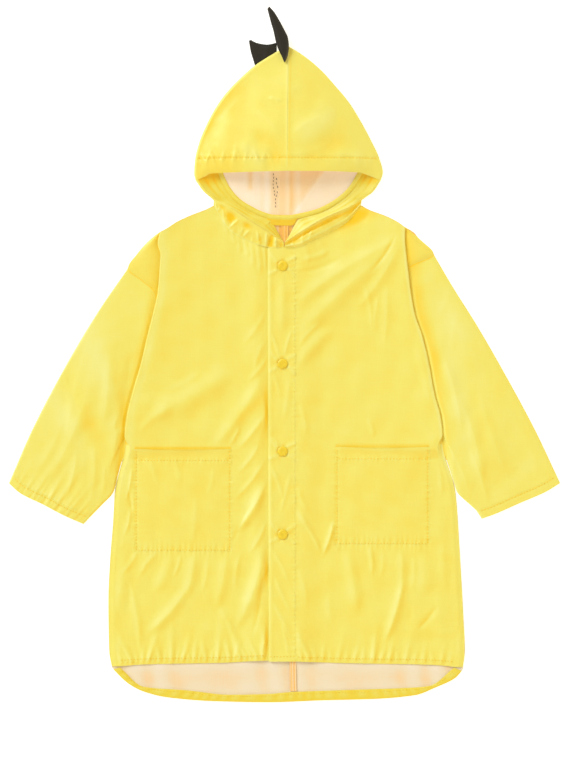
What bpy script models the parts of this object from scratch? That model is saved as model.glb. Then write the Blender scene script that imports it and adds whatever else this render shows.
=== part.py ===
"""Hooded raincoat for a small child, laid flat and face up, as the pieces it is sewn from.

The tables hold millimetres and the meshes hold metres. +Z is up, +Y runs to the hood, and
-X is the left of someone who looks down at the front. A side table gives "out", the
distance outwards from the middle line. Each cloth piece is an open surface, worked out from
outlines and folds, and a Solidify modifier makes it a wall.
"""
import math
from typing import NamedTuple

import bmesh
import bpy
import numpy as np

MM = 0.001
WALL = 1.2                          # coated cloth with its turned seams
GAP = 0.3                           # between the faces of neighbouring pieces
LAYER = WALL + GAP                  # from one cloth's middle to the middle of the next
FLOOR_MID = WALL / 2                # middle of the cloth that lies on the floor
UPPER_MID = FLOOR_MID + LAYER       # middle of the cloth that lies on that one
FOLD_PITCH = 2.2                    # from layer to layer inside a fold
SEAM_MID = 2.3                      # height of the upper cloth at armholes and side seams
CENTRE_MID = 5.4                    # height of the placket over tape and underlap
PLACKET_X = (-21.0, 14.7)           # the placket's two long edges
SEAM_X = 15.1                       # where the lapping front meets the placket
UNDERLAP_X = 11.5                   # how far the other front runs below the placket
SNAP_RADIUS = 6.9
SNAP_RISE = 2.6
SNAP_Y = (120.0, -12.0, -130.0, -242.0)
SNAP_X = -2.4
HOOD_FOLD = 3.0                     # radius of the hood's side folds
BRIM_MID = 24.0                     # height of the brim at its middle
SPIKE_WALL = 2.2
TAPE_WIDTH = 9.0
APEX_EASE = 0.4                     # opens the hood's seam where it turns over the crown
CROWN_SEAM_X = 4.7                  # the hood's middle seam at its crown
BRIM_SEAM_X = 3.4                   # and at its brim
NAPE_SEAM_X = -10.0                 # and at the back neck seam
NECK_OUTS = (0.0, 15.0, 30.0, 45.0, 60.0, 76.0, 93.0)


class Fold(NamedTuple):
    """A soft ridge, or a trough where rise is negative, along a straight line."""
    x0: float
    y0: float
    x1: float
    y1: float
    width: float
    rise: float


class Row(NamedTuple):
    """A row of a body panel: y at its outer end, shares of the top's and the hem's shape."""
    y: float
    top: float
    hem: float


class Side(NamedTuple):
    """One side of the body. Points are (out, y)."""
    sign: int
    edge: list
    seam: list
    shoulder: list
    neck: list
    pocket: tuple
    pocket_guide: list
    sleeve_outer: list
    sleeve_inner: list
    cuff_seam: list
    cuff: list
    rows: list
    first_armhole_row: int
    inner_columns: list


BODY_FOLDS = [
    #    x0,   y0,   x1,   y1, width, rise
    Fold(-26, -40, -188, -115, 17, -1.4),
    Fold(-34, -66, -176, -118, 15, 2.0),
    Fold(-27, -155, -66, -317, 14, 2.6),
    Fold(-30, -130, -60, -200, 10, -1.0),
    Fold(-98, -270, -84, -344, 13, 2.2),
    Fold(-144, -297, -182, -371, 13, 2.2),
    Fold(-32, -277, -60, -385, 12, -1.0),
    Fold(-74, 142, -114, 34, 24, 1.3),
    Fold(-198, -223, -209, -385, 14, 1.4),
    Fold(24, 94, 149, 148, 15, 2.4),
    Fold(30, 70, 156, 126, 12, -1.2),
    Fold(22, -9, 88, 61, 13, 2.0),
    Fold(118, 74, 109, 10, 12, 1.3),
    Fold(24, -202, 51, -270, 9, 1.8),
    Fold(66, -230, 51, -270, 9, 1.5),
    Fold(82, -268, 88, -364, 13, 2.2),
    Fold(159, -301, 136, -391, 13, 2.4),
    Fold(198, -155, 212, -331, 14, 1.3),
]

HEM_PUCKERS = [
    # x, length, width, rise
    (-214, 18, 8, 1.3), (-190, 34, 9, 1.8), (-163, 22, 8, 1.5), (-138, 40, 9, 1.9),
    (-112, 20, 8, 1.4), (-88, 36, 9, 2.0), (-62, 24, 8, 1.7), (-40, 30, 8, 1.8),
    (38, 26, 8, 1.6), (66, 16, 8, 1.1), (96, 30, 9, 1.5), (128, 34, 9, 1.8),
    (158, 18, 8, 1.2), (190, 24, 8, 1.3), (218, 16, 8, 1.0),
]

REST_HEIGHT = [
    # y, height of the front's middle away from its folds
    (-425, 2.3), (-408, 2.9), (-370, 3.5), (-150, 3.9), (120, 3.7), (170, 3.0), (203, 2.4),
]

FRONT_HEM = [(-234, -420.5), (-186, -417), (-85, -415), (-20, -412), (85, -415), (194, -417),
             (242, -421)]
BACK_HEM = [(-233, -422), (-211, -443), (-190, -454), (-157, -462), (-95, -467), (-22, -468.5),
            (49, -466), (122, -464), (176, -459), (205, -448), (230, -436), (241, -424)]
HEM_FACING = [(-222, -424.5), (-189, -448), (-132, -452.5), (-74, -458.5), (-22, -457.5),
              (6, -455), (86, -452), (159, -449.5), (194, -447), (229, -424.5)]
BACK_NECK = [(0, 184.5), (20, 187), (44, 195), (73, 201), (93, 202.5)]

LEFT = Side(
    sign=-1,
    edge=[(168, 166), (175, 155), (169, 117), (172, 84), (182, 55), (195, 13), (204, -61),
          (212, -86), (215, -110), (219.2, -143), (224.5, -163), (229, -182), (231.5, -224), (235.5, -275),
          (238, -331), (237, -398), (233, -422)],
    seam=[(168, 166), (187, 150), (199, 136), (211, 117.5), (192, 101), (174, 84), (171, 60),
          (176, 32), (185, 4), (190, -26), (194, -56), (203, -86), (213.5, -110), (215.5, -127),
          (219, -143)],
    shoulder=[(91, 202.5), (107, 196), (128, 188), (145, 180), (159, 171), (168, 166),
              (182, 155), (195, 139), (207, 123), (211, 117.5)],
    neck=[(-11.5, 144), (12, 145.5), (30, 148), (47, 154), (71, 169), (84, 189), (91, 202.5)],
    pocket=(-127.0, -264.6),
    pocket_guide=[(166, 142, 91), (60, 158, 84), (-86, 195, 74), (-127, 203, 71),
                  (-264.6, 203, 71), (-422, 203, 72)],
    sleeve_outer=[(211, 117.5), (252, 58), (300, -23), (342, -104), (366.4, -160)],
    sleeve_inner=[(220, -143.2), (226.5, -163), (231.8, -182), (236, -191), (246, -201),
                  (261, -217.5)],
    cuff_seam=[(366.4, -160), (352, -173.5), (320, -189.6), (289, -206), (261, -217.5)],
    cuff=[(372, -172.8), (358, -185), (326, -201), (295, -217.4), (271, -228)],
    rows=[Row(166, 1, 0), Row(150, .93, 0), Row(136, .86, 0), Row(117.5, .76, 0),
          Row(101, .66, 0), Row(84, .56, 0), Row(58, .4, 0), Row(26, .24, 0),
          Row(-12, .08, 0), Row(-50, 0, 0), Row(-86, 0, 0), Row(-110, 0, 0),
          Row(-127, 0, 0), Row(-143, 0, 0), Row(-170, 0, 0), Row(-200, 0, 0),
          Row(-232, 0, 0), Row(-264.6, 0, 0), Row(-300, 0, 0), Row(-335, 0, .15),
          Row(-365, 0, .35), Row(-388, 0, .6), Row(-405, 0, .82), Row(-420, 0, 1)],
    first_armhole_row=3,
    inner_columns=[(28.0, 4), (21.6, 1), (-UNDERLAP_X, 2)],
)

RIGHT = Side(
    sign=1,
    edge=[(163, 172.5), (162.5, 166), (167, 115), (175, 60), (190, 13), (204.5, -61),
          (211, -84), (213.5, -107), (218.2, -141), (224.5, -160), (230, -178), (233, -205),
          (235.6, -244),
          (242, -358), (243.7, -398), (241, -422)],
    seam=[(163, 172.5), (189, 150), (201, 136.4), (183, 127), (167, 117.5), (161, 101),
          (159, 84), (162, 60), (168, 32), (176, 4), (184, -26), (191, -56), (200, -84),
          (212, -107), (214, -124), (218, -141)],
    shoulder=[(99, 202.8), (115, 195.8), (137, 187.7), (153, 179.6), (163, 172.5), (174, 166),
              (183, 155), (198, 139), (201, 136.4)],
    neck=[(SEAM_X, 146), (34, 154), (65, 169), (82, 180), (99, 202.8)],
    pocket=(-124.0, -255.0),
    pocket_guide=[(172.5, 138, 99), (60, 152, 88), (-86, 188, 72), (-124, 196, 68),
                  (-255, 196, 68), (-422, 200, 70)],
    sleeve_outer=[(201, 136.4), (228, 90.5), (258.5, 42), (296, -23), (339.5, -104),
                  (366, -160)],
    sleeve_inner=[(219, -141.2), (226.5, -160), (232.6, -177), (247.7, -193), (258.3, -209.3)],
    cuff_seam=[(366, -160), (348, -171.6), (311, -187.8), (274, -204), (258.3, -209.3)],
    cuff=[(372, -172.8), (354, -183.6), (317, -199.8), (280, -216), (266, -221)],
    rows=[Row(172.5, 1, 0), Row(154, .93, 0), Row(136.4, .86, 0), Row(117.5, .76, 0),
          Row(101, .66, 0), Row(84, .56, 0), Row(58, .4, 0), Row(26, .24, 0),
          Row(-12, .08, 0), Row(-50, 0, 0), Row(-84, 0, 0), Row(-107, 0, 0),
          Row(-124, 0, 0), Row(-141, 0, 0), Row(-168, 0, 0), Row(-196, 0, 0),
          Row(-226, 0, 0), Row(-255, 0, 0), Row(-292, 0, 0), Row(-330, 0, .15),
          Row(-363, 0, .35), Row(-388, 0, .6), Row(-405, 0, .82), Row(-420.9, 0, 1)],
    first_armhole_row=2,
    inner_columns=[(SEAM_X, 5)],
)

BACK_ROWS = (117.5, 84, 26, -50, -110, -143, -232, -335, -400, -424)
ARMHOLE_END = -143                  # below this the sleeve has left the body
FOLD_END = -120                     # below this the fronts are no longer folded back
SIDE_FALL = 9.0                     # width of a front's soft fall to its side seam

LEFT_HOOD = [(-4.7, 417), (8.9, 409.9), (38.5, 391.5), (57.4, 375.3), (76.3, 355.9),
             (91.9, 334.8), (105.4, 309.6), (115, 286.3), (120.8, 261.4), (121.8, 243.9),
             (119.9, 235.3)]
RIGHT_HOOD = [(4.7, 417), (25.8, 404), (48.9, 384.8), (68.2, 363.6), (87.5, 340.3),
              (102.9, 315.4), (116.4, 290.3), (128, 265.1), (132.8, 245.8), (129.9, 235.3)]
LEFT_CHEEK = [(119.9, 235.3), (108.7, 220), (99.5, 212.3), (95.5, 208.5)]
RIGHT_CHEEK = [(129.9, 235.3), (119.5, 220), (108.7, 212), (103.5, 208.2)]
LEFT_BRIM = [(-3.4, 247), (56, 245.7), (99, 244.4), (107, 240.5)]
RIGHT_BRIM = [(3.4, 247), (47.9, 247), (99.2, 245.7), (117, 240.5)]
LEFT_RIDGE = [(92, 206), (66.8, 194.4), (46.6, 180.9), (29, 170), (16.9, 162), (4.0, 152.5)]
RIGHT_RIDGE = [(101, 206), (81.7, 195.5), (60, 188), (37, 184), (17, 181), (0, 151)]
LEFT_COLLAR = [(93.4, 203.4), (85.5, 189.5), (72, 170.2), (47.5, 155.4), (30, 149.5), (12, 147)]
RIGHT_COLLAR = [(101, 203.4), (83, 181.5), (65.5, 170.5), (34.4, 155.4), (17, 147.8), (6, 147)]
LEFT_FACING_END = [(15.5, 172), (5.5, 156)]
LEFT_FACING = [(112, 247), (110, 236), (102, 221), (94, 213.5), (86.5, 207)]
RIGHT_FACING = [(122, 247), (120, 236), (112, 222), (102, 213.5), (95, 207.5), (80.5, 198),
                (59.5, 190.5), (44.5, 188.6)]
BINDING_INNER = [(-86, 252), (-75, 228), (-61, 211), (-44, 200), (-28, 192.5), (-14, 189),
                 (5, 188.5), (21, 191), (44, 197), (64, 207), (86, 225.5), (102, 252)]
BINDING_WIDTH = 6.0
SPIKE_FRONT = [
    # y, x of the left edge, x of the right edge, height
    (395.5, 0.2, 1.6, 10.6), (404, -3.5, 4.5, 11.2), (414, -8.5, 5.8, 11.8),
    (425, -12, 4.5, 12.2), (437, -14.5, -1, 12.4), (449, -18, -7.5, 12.2),
    (459, -20.5, -13.5, 11.8), (467.4, -22.6, -20.8, 11.2),
]
SPIKE_REAR = [
    # x and y of the left edge, x and y of the right edge, from the base to the tip
    (-39.9, 390.8, -11.8, 408.5), (-43, 401, -15, 419), (-45.4, 409, -26, 418.5),
    (-47, 418, -37, 421), (-47.9, 424.3, -45.6, 425),
]


def smoothstep(value):
    """Rise from 0 to 1 with level ends."""
    share = np.clip(value, 0.0, 1.0)
    return share * share * (3.0 - 2.0 * share)


def out_at(points, y):
    """Distance outwards of a side outline at height y on the plan; y falls along it."""
    table = np.array(points, dtype=float)
    return np.interp(-np.asarray(y, dtype=float), -table[:, 1], table[:, 0])


def y_at(points, x):
    """y of an outline that runs across, at x."""
    table = np.array(sorted(points), dtype=float)
    return np.interp(x, table[:, 0], table[:, 1])


def along(points, shares):
    """Points at shares of a polyline's length."""
    table = np.array(points, dtype=float)
    steps = np.linalg.norm(np.diff(table, axis=0), axis=1)
    reach = np.concatenate([[0.0], np.cumsum(steps)]) / steps.sum()
    return np.stack([np.interp(shares, reach, table[:, k]) for k in (0, 1)], axis=-1)


def offset_line(points, distance):
    """Move a polyline sideways, to the right of its direction, by a distance."""
    line = np.array(points, dtype=float)
    tangent = np.gradient(line, axis=0)
    tangent /= np.linalg.norm(tangent, axis=1, keepdims=True)
    return line + distance * np.stack([tangent[:, 1], -tangent[:, 0]], axis=1)


def fold_height(x, y, folds):
    """Sum of folds: each rise dies away as exp(-(distance to its line / width) squared)."""
    total = np.zeros(np.broadcast(x, y).shape)
    for fold in folds:
        run_x, run_y = fold.x1 - fold.x0, fold.y1 - fold.y0
        share = ((x - fold.x0) * run_x + (y - fold.y0) * run_y) / (run_x ** 2 + run_y ** 2)
        share = np.clip(share, 0.0, 1.0)
        away = np.hypot(x - fold.x0 - share * run_x, y - fold.y0 - share * run_y)
        total += fold.rise * np.exp(-(away / fold.width) ** 2)
    return total


def pucker_height(x, y):
    """Short gathers that stand on the front hem and die away up the cloth."""
    total = np.zeros(np.broadcast(x, y).shape)
    above = np.maximum(y - y_at(FRONT_HEM, x), 0.0)
    for place, length, width, rise in HEM_PUCKERS:
        swell = smoothstep(above / 6.0 + 0.4) * np.exp(-above / length)
        total += rise * swell * np.exp(-((x - place) / width) ** 2)
    return total


def body_height(x, y):
    """Height of the front's middle: its rest height, the placket's rise, folds and gathers."""
    table = np.array(REST_HEIGHT)
    rest = np.interp(y, table[:, 0], table[:, 1])
    centre = smoothstep((58.0 - np.abs(x - SNAP_X)) / 34.0)
    height = rest + (CENTRE_MID - rest) * centre
    height += fold_height(x, y, BODY_FOLDS) * (1.0 - centre) + pucker_height(x, y) * (1.0 - centre)
    lowest = UPPER_MID + 0.1 + (CENTRE_MID - UPPER_MID - 0.2) * centre
    return np.maximum(height, lowest)


def join(*grids):
    """Stack grids of points side by side, each (rows, columns, 3)."""
    return np.concatenate(grids, axis=1)


def material(name, colour, roughness):
    """Plain finish for one part."""
    shade = bpy.data.materials.new(name)
    shade.use_nodes = True
    shader = shade.node_tree.nodes["Principled BSDF"]
    shader.inputs["Base Color"].default_value = (*colour, 1.0)
    shader.inputs["Roughness"].default_value = roughness
    shader.inputs["Metallic"].default_value = 0.0
    return shade


def add_object(name, mesh, finish, collection):
    """Put a mesh in the collection as one named part with its own material."""
    part = bpy.data.objects.new(name, mesh)
    mesh.materials.append(material(name, *finish))
    collection.objects.link(part)
    return part


def grid_mesh(name, grids, closed=False):
    """Join grids of points into one open surface of quads; closed joins the last column."""
    verts, faces = [], []
    for grid in grids:
        rows, columns = grid.shape[:2]
        first = len(verts)
        verts.extend((grid.reshape(-1, 3) * MM).tolist())
        last = columns if closed else columns - 1
        for row in range(rows - 1):
            for column in range(last):
                after = (column + 1) % columns
                a, b = first + row * columns + column, first + row * columns + after
                faces.append((a, b, b + columns, a + columns))
    mesh = bpy.data.meshes.new(name)
    mesh.from_pydata(verts, [], faces)
    surface = bmesh.new()
    surface.from_mesh(mesh)
    bmesh.ops.remove_doubles(surface, verts=surface.verts, dist=0.00001)
    bmesh.ops.recalc_face_normals(surface, faces=surface.faces)
    surface.to_mesh(mesh)
    surface.free()
    mesh.shade_smooth()
    return mesh


def add_cloth(name, grids, finish, collection, wall=WALL, closed=False):
    """A cloth piece: an open surface with a wall set half to each side of it."""
    part = add_object(name, grid_mesh(name, grids, closed), finish, collection)
    thick = part.modifiers.new("wall", "SOLIDIFY")
    thick.thickness = wall * MM
    thick.offset = 0.0
    return part


def normals_of(grid):
    """Unit normals of a grid of points, turned upwards."""
    down, across = np.gradient(grid, axis=0), np.gradient(grid, axis=1)
    normal = np.cross(down, across)
    normal /= np.linalg.norm(normal, axis=2, keepdims=True)
    return normal * np.sign(normal[:, :, 2:3])


def front_plan(side):
    """Plan of a front inside its fold edge: out and y for each row and column."""
    guide = np.array(side.pocket_guide, dtype=float)
    top = side.shoulder + side.neck
    outs, ys = [], []
    for row in side.rows:
        start = side_out(side, row.y) - edge_inset(side, row.y)
        knots = [start] + [np.interp(-row.y, -guide[:, 0], guide[:, k]) for k in (1, 2)]
        cells = [3, 10]
        for place, count in side.inner_columns:
            knots.append(place)
            cells.append(count)
        line = [np.linspace(a, b, n, endpoint=False) for a, b, n in zip(knots, knots[1:], cells)]
        out = np.concatenate(line + [[knots[-1]]])
        y = row.y + (y_at(top, out) - y_at(top, start)) * row.top
        hem = y_at(FRONT_HEM, side.sign * out) - y_at(FRONT_HEM, side.sign * start)
        outs.append(out)
        ys.append(y + hem * row.hem)
    return np.array(outs), np.array(ys)


def is_folded(y):
    """Whether the front is folded under at this height, beside the armhole."""
    return y > FOLD_END


def side_out(side, y):
    """How far out a front reaches at this height, seen from above."""
    if is_folded(y) or y < side.seam[-1][1]:
        return float(out_at(side.edge, y))
    return float(out_at(side.seam, y))


def edge_inset(side, y):
    """Distance from the outer edge at which a front's flat cloth ends."""
    if is_folded(y):
        return WALL / 2 + FOLD_PITCH / 2
    return SIDE_FALL


def edge_section(side, y):
    """Section (out, height) of a front's outer edge, 11 points from the flat cloth outwards.

    Beside the armhole it is a fold: a half turn down, back under the front, a half turn
    down again, then outwards to the seam. Below, it is a soft fall to the side seam.
    """
    edge = side_out(side, y)
    if not is_folded(y):
        share = np.array([0.0, 0.14, 0.28, 0.4, 0.46, 0.52, 0.58, 0.66, 0.77, 0.88, 1.0])
        crest = np.interp(y, [side.seam[-1][1], FOLD_END - 4.0], [3.6, 6.0])
        height = crest + (SEAM_MID - crest) * smoothstep(share * 1.3 - 0.15)
        return edge - WALL / 2 - (SIDE_FALL - WALL / 2) * (1.0 - share), height
    radius = FOLD_PITCH / 2
    upper = SEAM_MID + 3 * radius
    lower = SEAM_MID + radius
    turn = np.radians([90.0, 30.0, -30.0, -90.0])
    end = float(out_at(side.seam, y))
    depth = np.interp(y, [-107, -60, 40, 150], [2.5, 9.0, 11.0, 3.0])
    inner = min(edge - depth, end - 1.0)
    first_out = edge - WALL / 2 - radius + radius * np.cos(turn)
    first_up = upper + radius * np.sin(turn)
    second_out = inner - radius * np.cos(turn)
    second_up = lower + radius * np.sin(turn)
    tail = np.linspace(inner, end, 4)
    out = np.concatenate([first_out, second_out, tail[1:]])
    height = np.concatenate([first_up, second_up, np.full(3, SEAM_MID)])
    return out, height


def front_grid(side):
    """Points of a whole front: the folded edge first, then the flat cloth inwards."""
    out, y = front_plan(side)
    x = side.sign * out
    height = body_height(x, y)
    sections = [edge_section(side, row.y) for row in side.rows]
    meet = np.array([section[1][0] for section in sections])[:, None]
    inwards = np.maximum(out[:, :1] - out - 13.0, 0.0) / 17.0
    height = height + (meet - height[:, :1]) * np.exp(-inwards ** 1.5)
    if side is LEFT:
        height -= (LAYER + 0.1) * smoothstep((27.5 - out) / 5.9)
    flat = np.stack([x, y, height], axis=-1)
    rows = []
    for index, (out_line, height_line) in enumerate(sections):
        y_line = np.full(out_line.shape, y[index, 0])
        line = np.stack([side.sign * out_line, y_line, height_line], axis=-1)
        rows.append(line[:0:-1])
    return join(np.array(rows), flat)


def add_front(name, side, finish, collection):
    """One front panel; gives back its points for what lies on it."""
    grid = front_grid(side)
    add_cloth(name, [grid], finish, collection)
    return grid


def add_pocket(name, side, front, finish, collection):
    """A patch pocket made from the front's own points, moved out and slightly puffed."""
    ys = [row.y for row in side.rows]
    first, last = ys.index(side.pocket[0]), ys.index(side.pocket[1])
    lift = normals_of(front)[first:last + 1, 13:24] * LAYER
    patch = front[first:last + 1, 13:24] + lift
    rows, columns = patch.shape[:2]
    down = np.linspace(0.0, 1.0, rows)[:, None]
    across = np.linspace(0.0, 1.0, columns)[None, :]
    belly = np.sin(np.pi * across) * (0.25 + np.sin(np.pi * np.clip(down, 0.0, 1.0)))
    patch[:, :, 2] += 0.9 * belly * (1.0 - down)
    patch[0, :, 1] -= 3.0 * np.sin(np.pi * across[0]) ** 2
    add_cloth(name, [patch], finish, collection)


def add_placket(side, front, finish, collection):
    """The band along the lapping front's edge, level with it, with a slightly wavy free edge."""
    xs = np.linspace(PLACKET_X[1], PLACKET_X[0], 4)
    y = front[:, -1, 1][:, None] + np.zeros(4)[None, :]
    lean = 1.6 * (y + 414.0) / 560.0 * ((PLACKET_X[1] - xs) / (PLACKET_X[1] - PLACKET_X[0]))
    x = xs[None, :] - lean
    y[0] = 146.0 + np.array([0.0, 1.5, 1.5, 0.4])
    height = body_height(x, y)
    add_cloth("placket", [np.stack([x, y, height], axis=-1)], finish, collection)


def back_seam_x(y):
    """The centre-back seam runs slightly to the right towards the hem."""
    return 12.0 * (184.0 - np.asarray(y, dtype=float)) / 652.0


def back_outline(side):
    """Outer outline of a back panel: the armhole seam, then the body's side."""
    armhole = [point for point in side.seam if point[1] <= side.shoulder[-1][1] + 0.1]
    below = [point for point in side.edge if point[1] < armhole[-1][1] - 1.0]
    return armhole + below


def back_rows(side):
    """Heights of the back's rows at its outer edge; the first starts the armhole."""
    start, end = side.shoulder[-1][1], side.seam[-1][1]
    hem = y_at(BACK_HEM, side.sign * side.edge[-1][0])
    return [start] + [end if y == ARMHOLE_END else y for y in BACK_ROWS[1:-1]] + [hem]


def add_back(name, side, finish, collection):
    """One back panel, flat on the floor, with half a cloth gap at the centre-back seam."""
    outline = back_outline(side)
    top = [(out, y) for out, y in BACK_NECK if out < side.shoulder[0][0]] + side.shoulder
    rows = back_rows(side)
    shares = [1.0, 0.8, 0.45, 0.15] + [0.0] * 6
    hems = [0.0] * 6 + [0.05, 0.25, 0.6, 1.0]
    grid = []
    for y_row, share, hem in zip(rows, shares, hems):
        outer = float(out_at(outline, y_row))
        y_seam = y_row + (184.5 - rows[0]) * share + (-468.0 - rows[-1]) * hem
        inner = side.sign * float(back_seam_x(y_seam)) + GAP / 2
        columns = np.concatenate([np.linspace(outer, NECK_OUTS[-1], 6), NECK_OUTS[-2::-1]])
        columns[-1] = inner
        even = outer + (inner - outer) * np.linspace(0.0, 1.0, len(columns))
        out = even + (columns - even) * share
        y = y_row + (y_at(top, out) - y_at(top, outer)) * share
        y += (y_at(BACK_HEM, side.sign * out) - rows[-1]) * hem
        grid.append(np.stack([side.sign * out, y, np.full(out.shape, FLOOR_MID)], axis=-1))
    add_cloth(name, [np.array(grid)], finish, collection)


def armhole_line(side, heights):
    """The armhole seam at given heights, moved off the body by the seam gap."""
    line = np.stack([out_at(side.seam, heights), heights], axis=1)
    line = offset_line(line, -(GAP + 0.15))
    line[-1] = side.sleeve_inner[0]
    return line


def sleeve_plan(side, first, shares, stations):
    """Blend four borders (a Coons patch): first is the armhole line, then the cuff."""
    cuff = along(side.cuff_seam, shares)
    outer = along(side.sleeve_outer, stations)
    inner = along(side.sleeve_inner, stations)
    outer[0], inner[0] = first[0], first[-1]
    cuff[0], cuff[-1] = outer[-1], inner[-1]
    s, w = stations[:, None, None], shares[None, :, None]
    ruled = (1 - s) * first[None] + s * cuff[None] + (1 - w) * outer[:, None] + w * inner[:, None]
    corners = ((1 - s) * (1 - w) * first[0] + (1 - s) * w * first[-1]
               + s * (1 - w) * cuff[0] + s * w * cuff[-1])
    return ruled - corners


def sleeve_folds(side):
    """Long soft folds down each sleeve."""
    if side is LEFT:
        return [Fold(-190, 70, -262, -200, 16, 1.8), Fold(-222, -60, -300, -180, 13, 1.6),
                Fold(-205, 20, -240, -120, 9, -0.8)]
    return [Fold(186, 92, 222, -60, 13, 2.0), Fold(240, 20, 300, -120, 16, 1.2),
            Fold(232, -90, 262, -190, 12, 1.6)]


def edge_directions(plan, first_share, last_share):
    """Directions out of a plan's first and last columns.

    They stand square to the tube's edge where the share is 0 and follow the row where it is
    1, with every mix between.
    """
    directions = []
    for column, step, turn, share in ((0, 1, 1.0, first_share), (-1, -2, -1.0, last_share)):
        run = np.gradient(plan[:, column], axis=0)
        square = turn * np.stack([-run[:, 1], run[:, 0]], axis=1)
        row = plan[:, column] - plan[:, step]
        square /= np.linalg.norm(square, axis=1, keepdims=True)
        row /= np.linalg.norm(row, axis=1, keepdims=True)
        mixed = square * (1.0 - share)[:, None] + row * share[:, None]
        directions.append(mixed / np.linalg.norm(mixed, axis=1, keepdims=True))
    return directions


def inset_ends(plan, directions, distance, whole):
    """Draw a plan's two edges in; whole says how far its inner columns share in that."""
    reach = np.linalg.norm(plan - plan[:, :1], axis=2)
    share = reach / reach[:, -1:]
    ends = np.zeros(share.shape)
    ends[:, 0] = ends[:, -1] = 1.0
    side_share = np.stack([1.0 - share, share])
    weight = side_share * (whole[:, None] + (1.0 - whole[:, None]) * ends)
    moved = plan.copy()
    for part, direction in zip(weight, directions):
        moved -= (part * distance[:, None])[:, :, None] * direction[:, None]
    return moved


def ring_of(plan_upper, plan_lower, ways_upper, ways_lower, radius, rise):
    """Close an upper and a lower plan into rings: upper, inner fold, lower, outer fold."""
    upper = np.concatenate([plan_upper, rise[:, :, None]], axis=2)
    lower = np.concatenate([plan_lower[:, ::-1], np.full(plan_lower.shape[:2] + (1,), FLOOR_MID)],
                           axis=2)
    folds = []
    for column, down in ((-1, 1.0), (0, -1.0)):
        points = []
        for angle in np.radians([30.0, -30.0]):
            above = down * angle > 0.0
            plan, ways = (plan_upper, ways_upper) if above else (plan_lower, ways_lower)
            reach = plan[:, column] + ways[column] * (radius * math.cos(angle))[:, None]
            height = FLOOR_MID + radius * (1.0 + down * math.sin(angle))
            points.append(np.concatenate([reach, height[:, None]], axis=1))
        folds.append(np.stack(points, axis=1))
    return np.concatenate([upper, folds[0], lower, folds[1]], axis=1)


def under_fold(side, out, y):
    """Greatest height of the sleeve's upper cloth, low where the front's fold lies over it."""
    edge = out_at(side.edge, y)
    return SEAM_MID + 9.0 * smoothstep((out - edge - 4.0) / 40.0) + 9.0 * (y < FOLD_END)


def add_sleeve(name, side, finish, collection):
    """A sleeve: a flattened tube from the armhole seam to the cuff's stitch line."""
    last = side.seam[-1][1] - 0.5
    heights = np.array([row.y for row in side.rows[side.first_armhole_row:] if row.y >= last],
                       dtype=float)
    back_heights = np.array([y for y in back_rows(side) if y >= last])
    stations = np.array([0, .03, .07, .12, .2, .3, .41, .52, .64, .76, .88, 1])
    radius = 0.85 + 0.9 * smoothstep((stations - 0.1) / 0.25)
    to_cuff = smoothstep((stations - 0.5) / 0.4)
    from_armhole = 1.0 - smoothstep(stations / 0.08)
    plans, ways = [], []
    for line in (armhole_line(side, heights), armhole_line(side, back_heights)):
        steps = np.linalg.norm(np.diff(line, axis=0), axis=1)
        shares = np.concatenate([[0.0], np.cumsum(steps)]) / steps.sum()
        plan = sleeve_plan(side, line, shares, stations)
        ways.append(edge_directions(plan, to_cuff + from_armhole, to_cuff))
        whole = np.minimum(stations / 0.03, 1.0)
        plans.append(inset_ends(plan, ways[-1], radius + WALL / 2, whole))
    upper, lower = plans
    across = np.sin(np.pi * np.linspace(0.0, 1.0, upper.shape[1]))[None, :] ** 0.7
    away = smoothstep((stations[:, None] * 300.0 - 10.0) / 40.0)
    shape = fold_height(side.sign * upper[:, :, 0], upper[:, :, 1], sleeve_folds(side))
    floor = FLOOR_MID + 2.0 * radius[:, None]
    rise = np.maximum(floor + (0.9 + shape) * away * across, SEAM_MID)
    cap = np.maximum(under_fold(side, upper[:, :, 0], upper[:, :, 1]), floor * (across < 0.01))
    ring = ring_of(upper, lower, ways[0], ways[1], radius, np.minimum(rise, cap))
    ring[:, :, 0] *= side.sign
    add_cloth(name, [ring], finish, collection, closed=True)


def add_cuff(name, side, waves, depth, finish, collection):
    """The turned-up cuff hem: a short flat tube, gathered in waves where depth is not zero."""
    shares = np.linspace(0.0, 1.0, 37)
    radius = np.full(3, 1.75)
    start = offset_line(along(side.cuff_seam, shares), -(GAP + 0.3))
    blend = np.array([0.0, 0.5, 1.0])[:, None, None]
    plan = (1 - blend) * start[None] + blend * along(side.cuff, shares)[None]
    directions = edge_directions(plan, np.ones(3), np.ones(3))
    plan = inset_ends(plan, directions, radius + WALL / 2, np.ones(3))
    wave = 0.5 - 0.5 * np.cos(2.0 * np.pi * waves * (shares + 0.03 * np.sin(9.0 * shares)))
    rise = FLOOR_MID + 2.0 * radius[:, None] + depth * wave[None, :] * np.sin(np.pi * shares) ** 0.4
    lower = plan[:, ::6]
    ring = ring_of(plan, lower, directions, directions, radius, rise)
    ring[:, :, 0] *= side.sign
    add_cloth(name, [ring], finish, collection, closed=True)


HOOD_FOLDS = [
    Fold(0, 250, -46, 300, 16, -2.4), Fold(-14, 262, -66, 282, 12, 2.2),
    Fold(-86, 262, -70, 330, 18, 1.8), Fold(10, 285, 74, 330, 15, 2.2),
    Fold(20, 262, 88, 296, 16, -1.8),
]


def neck_line(out):
    """y of the back neck seam on the hood's side, straight between the back's columns."""
    return np.interp(out, NECK_OUTS, y_at(BACK_NECK, NECK_OUTS)) + GAP + 0.15


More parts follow.
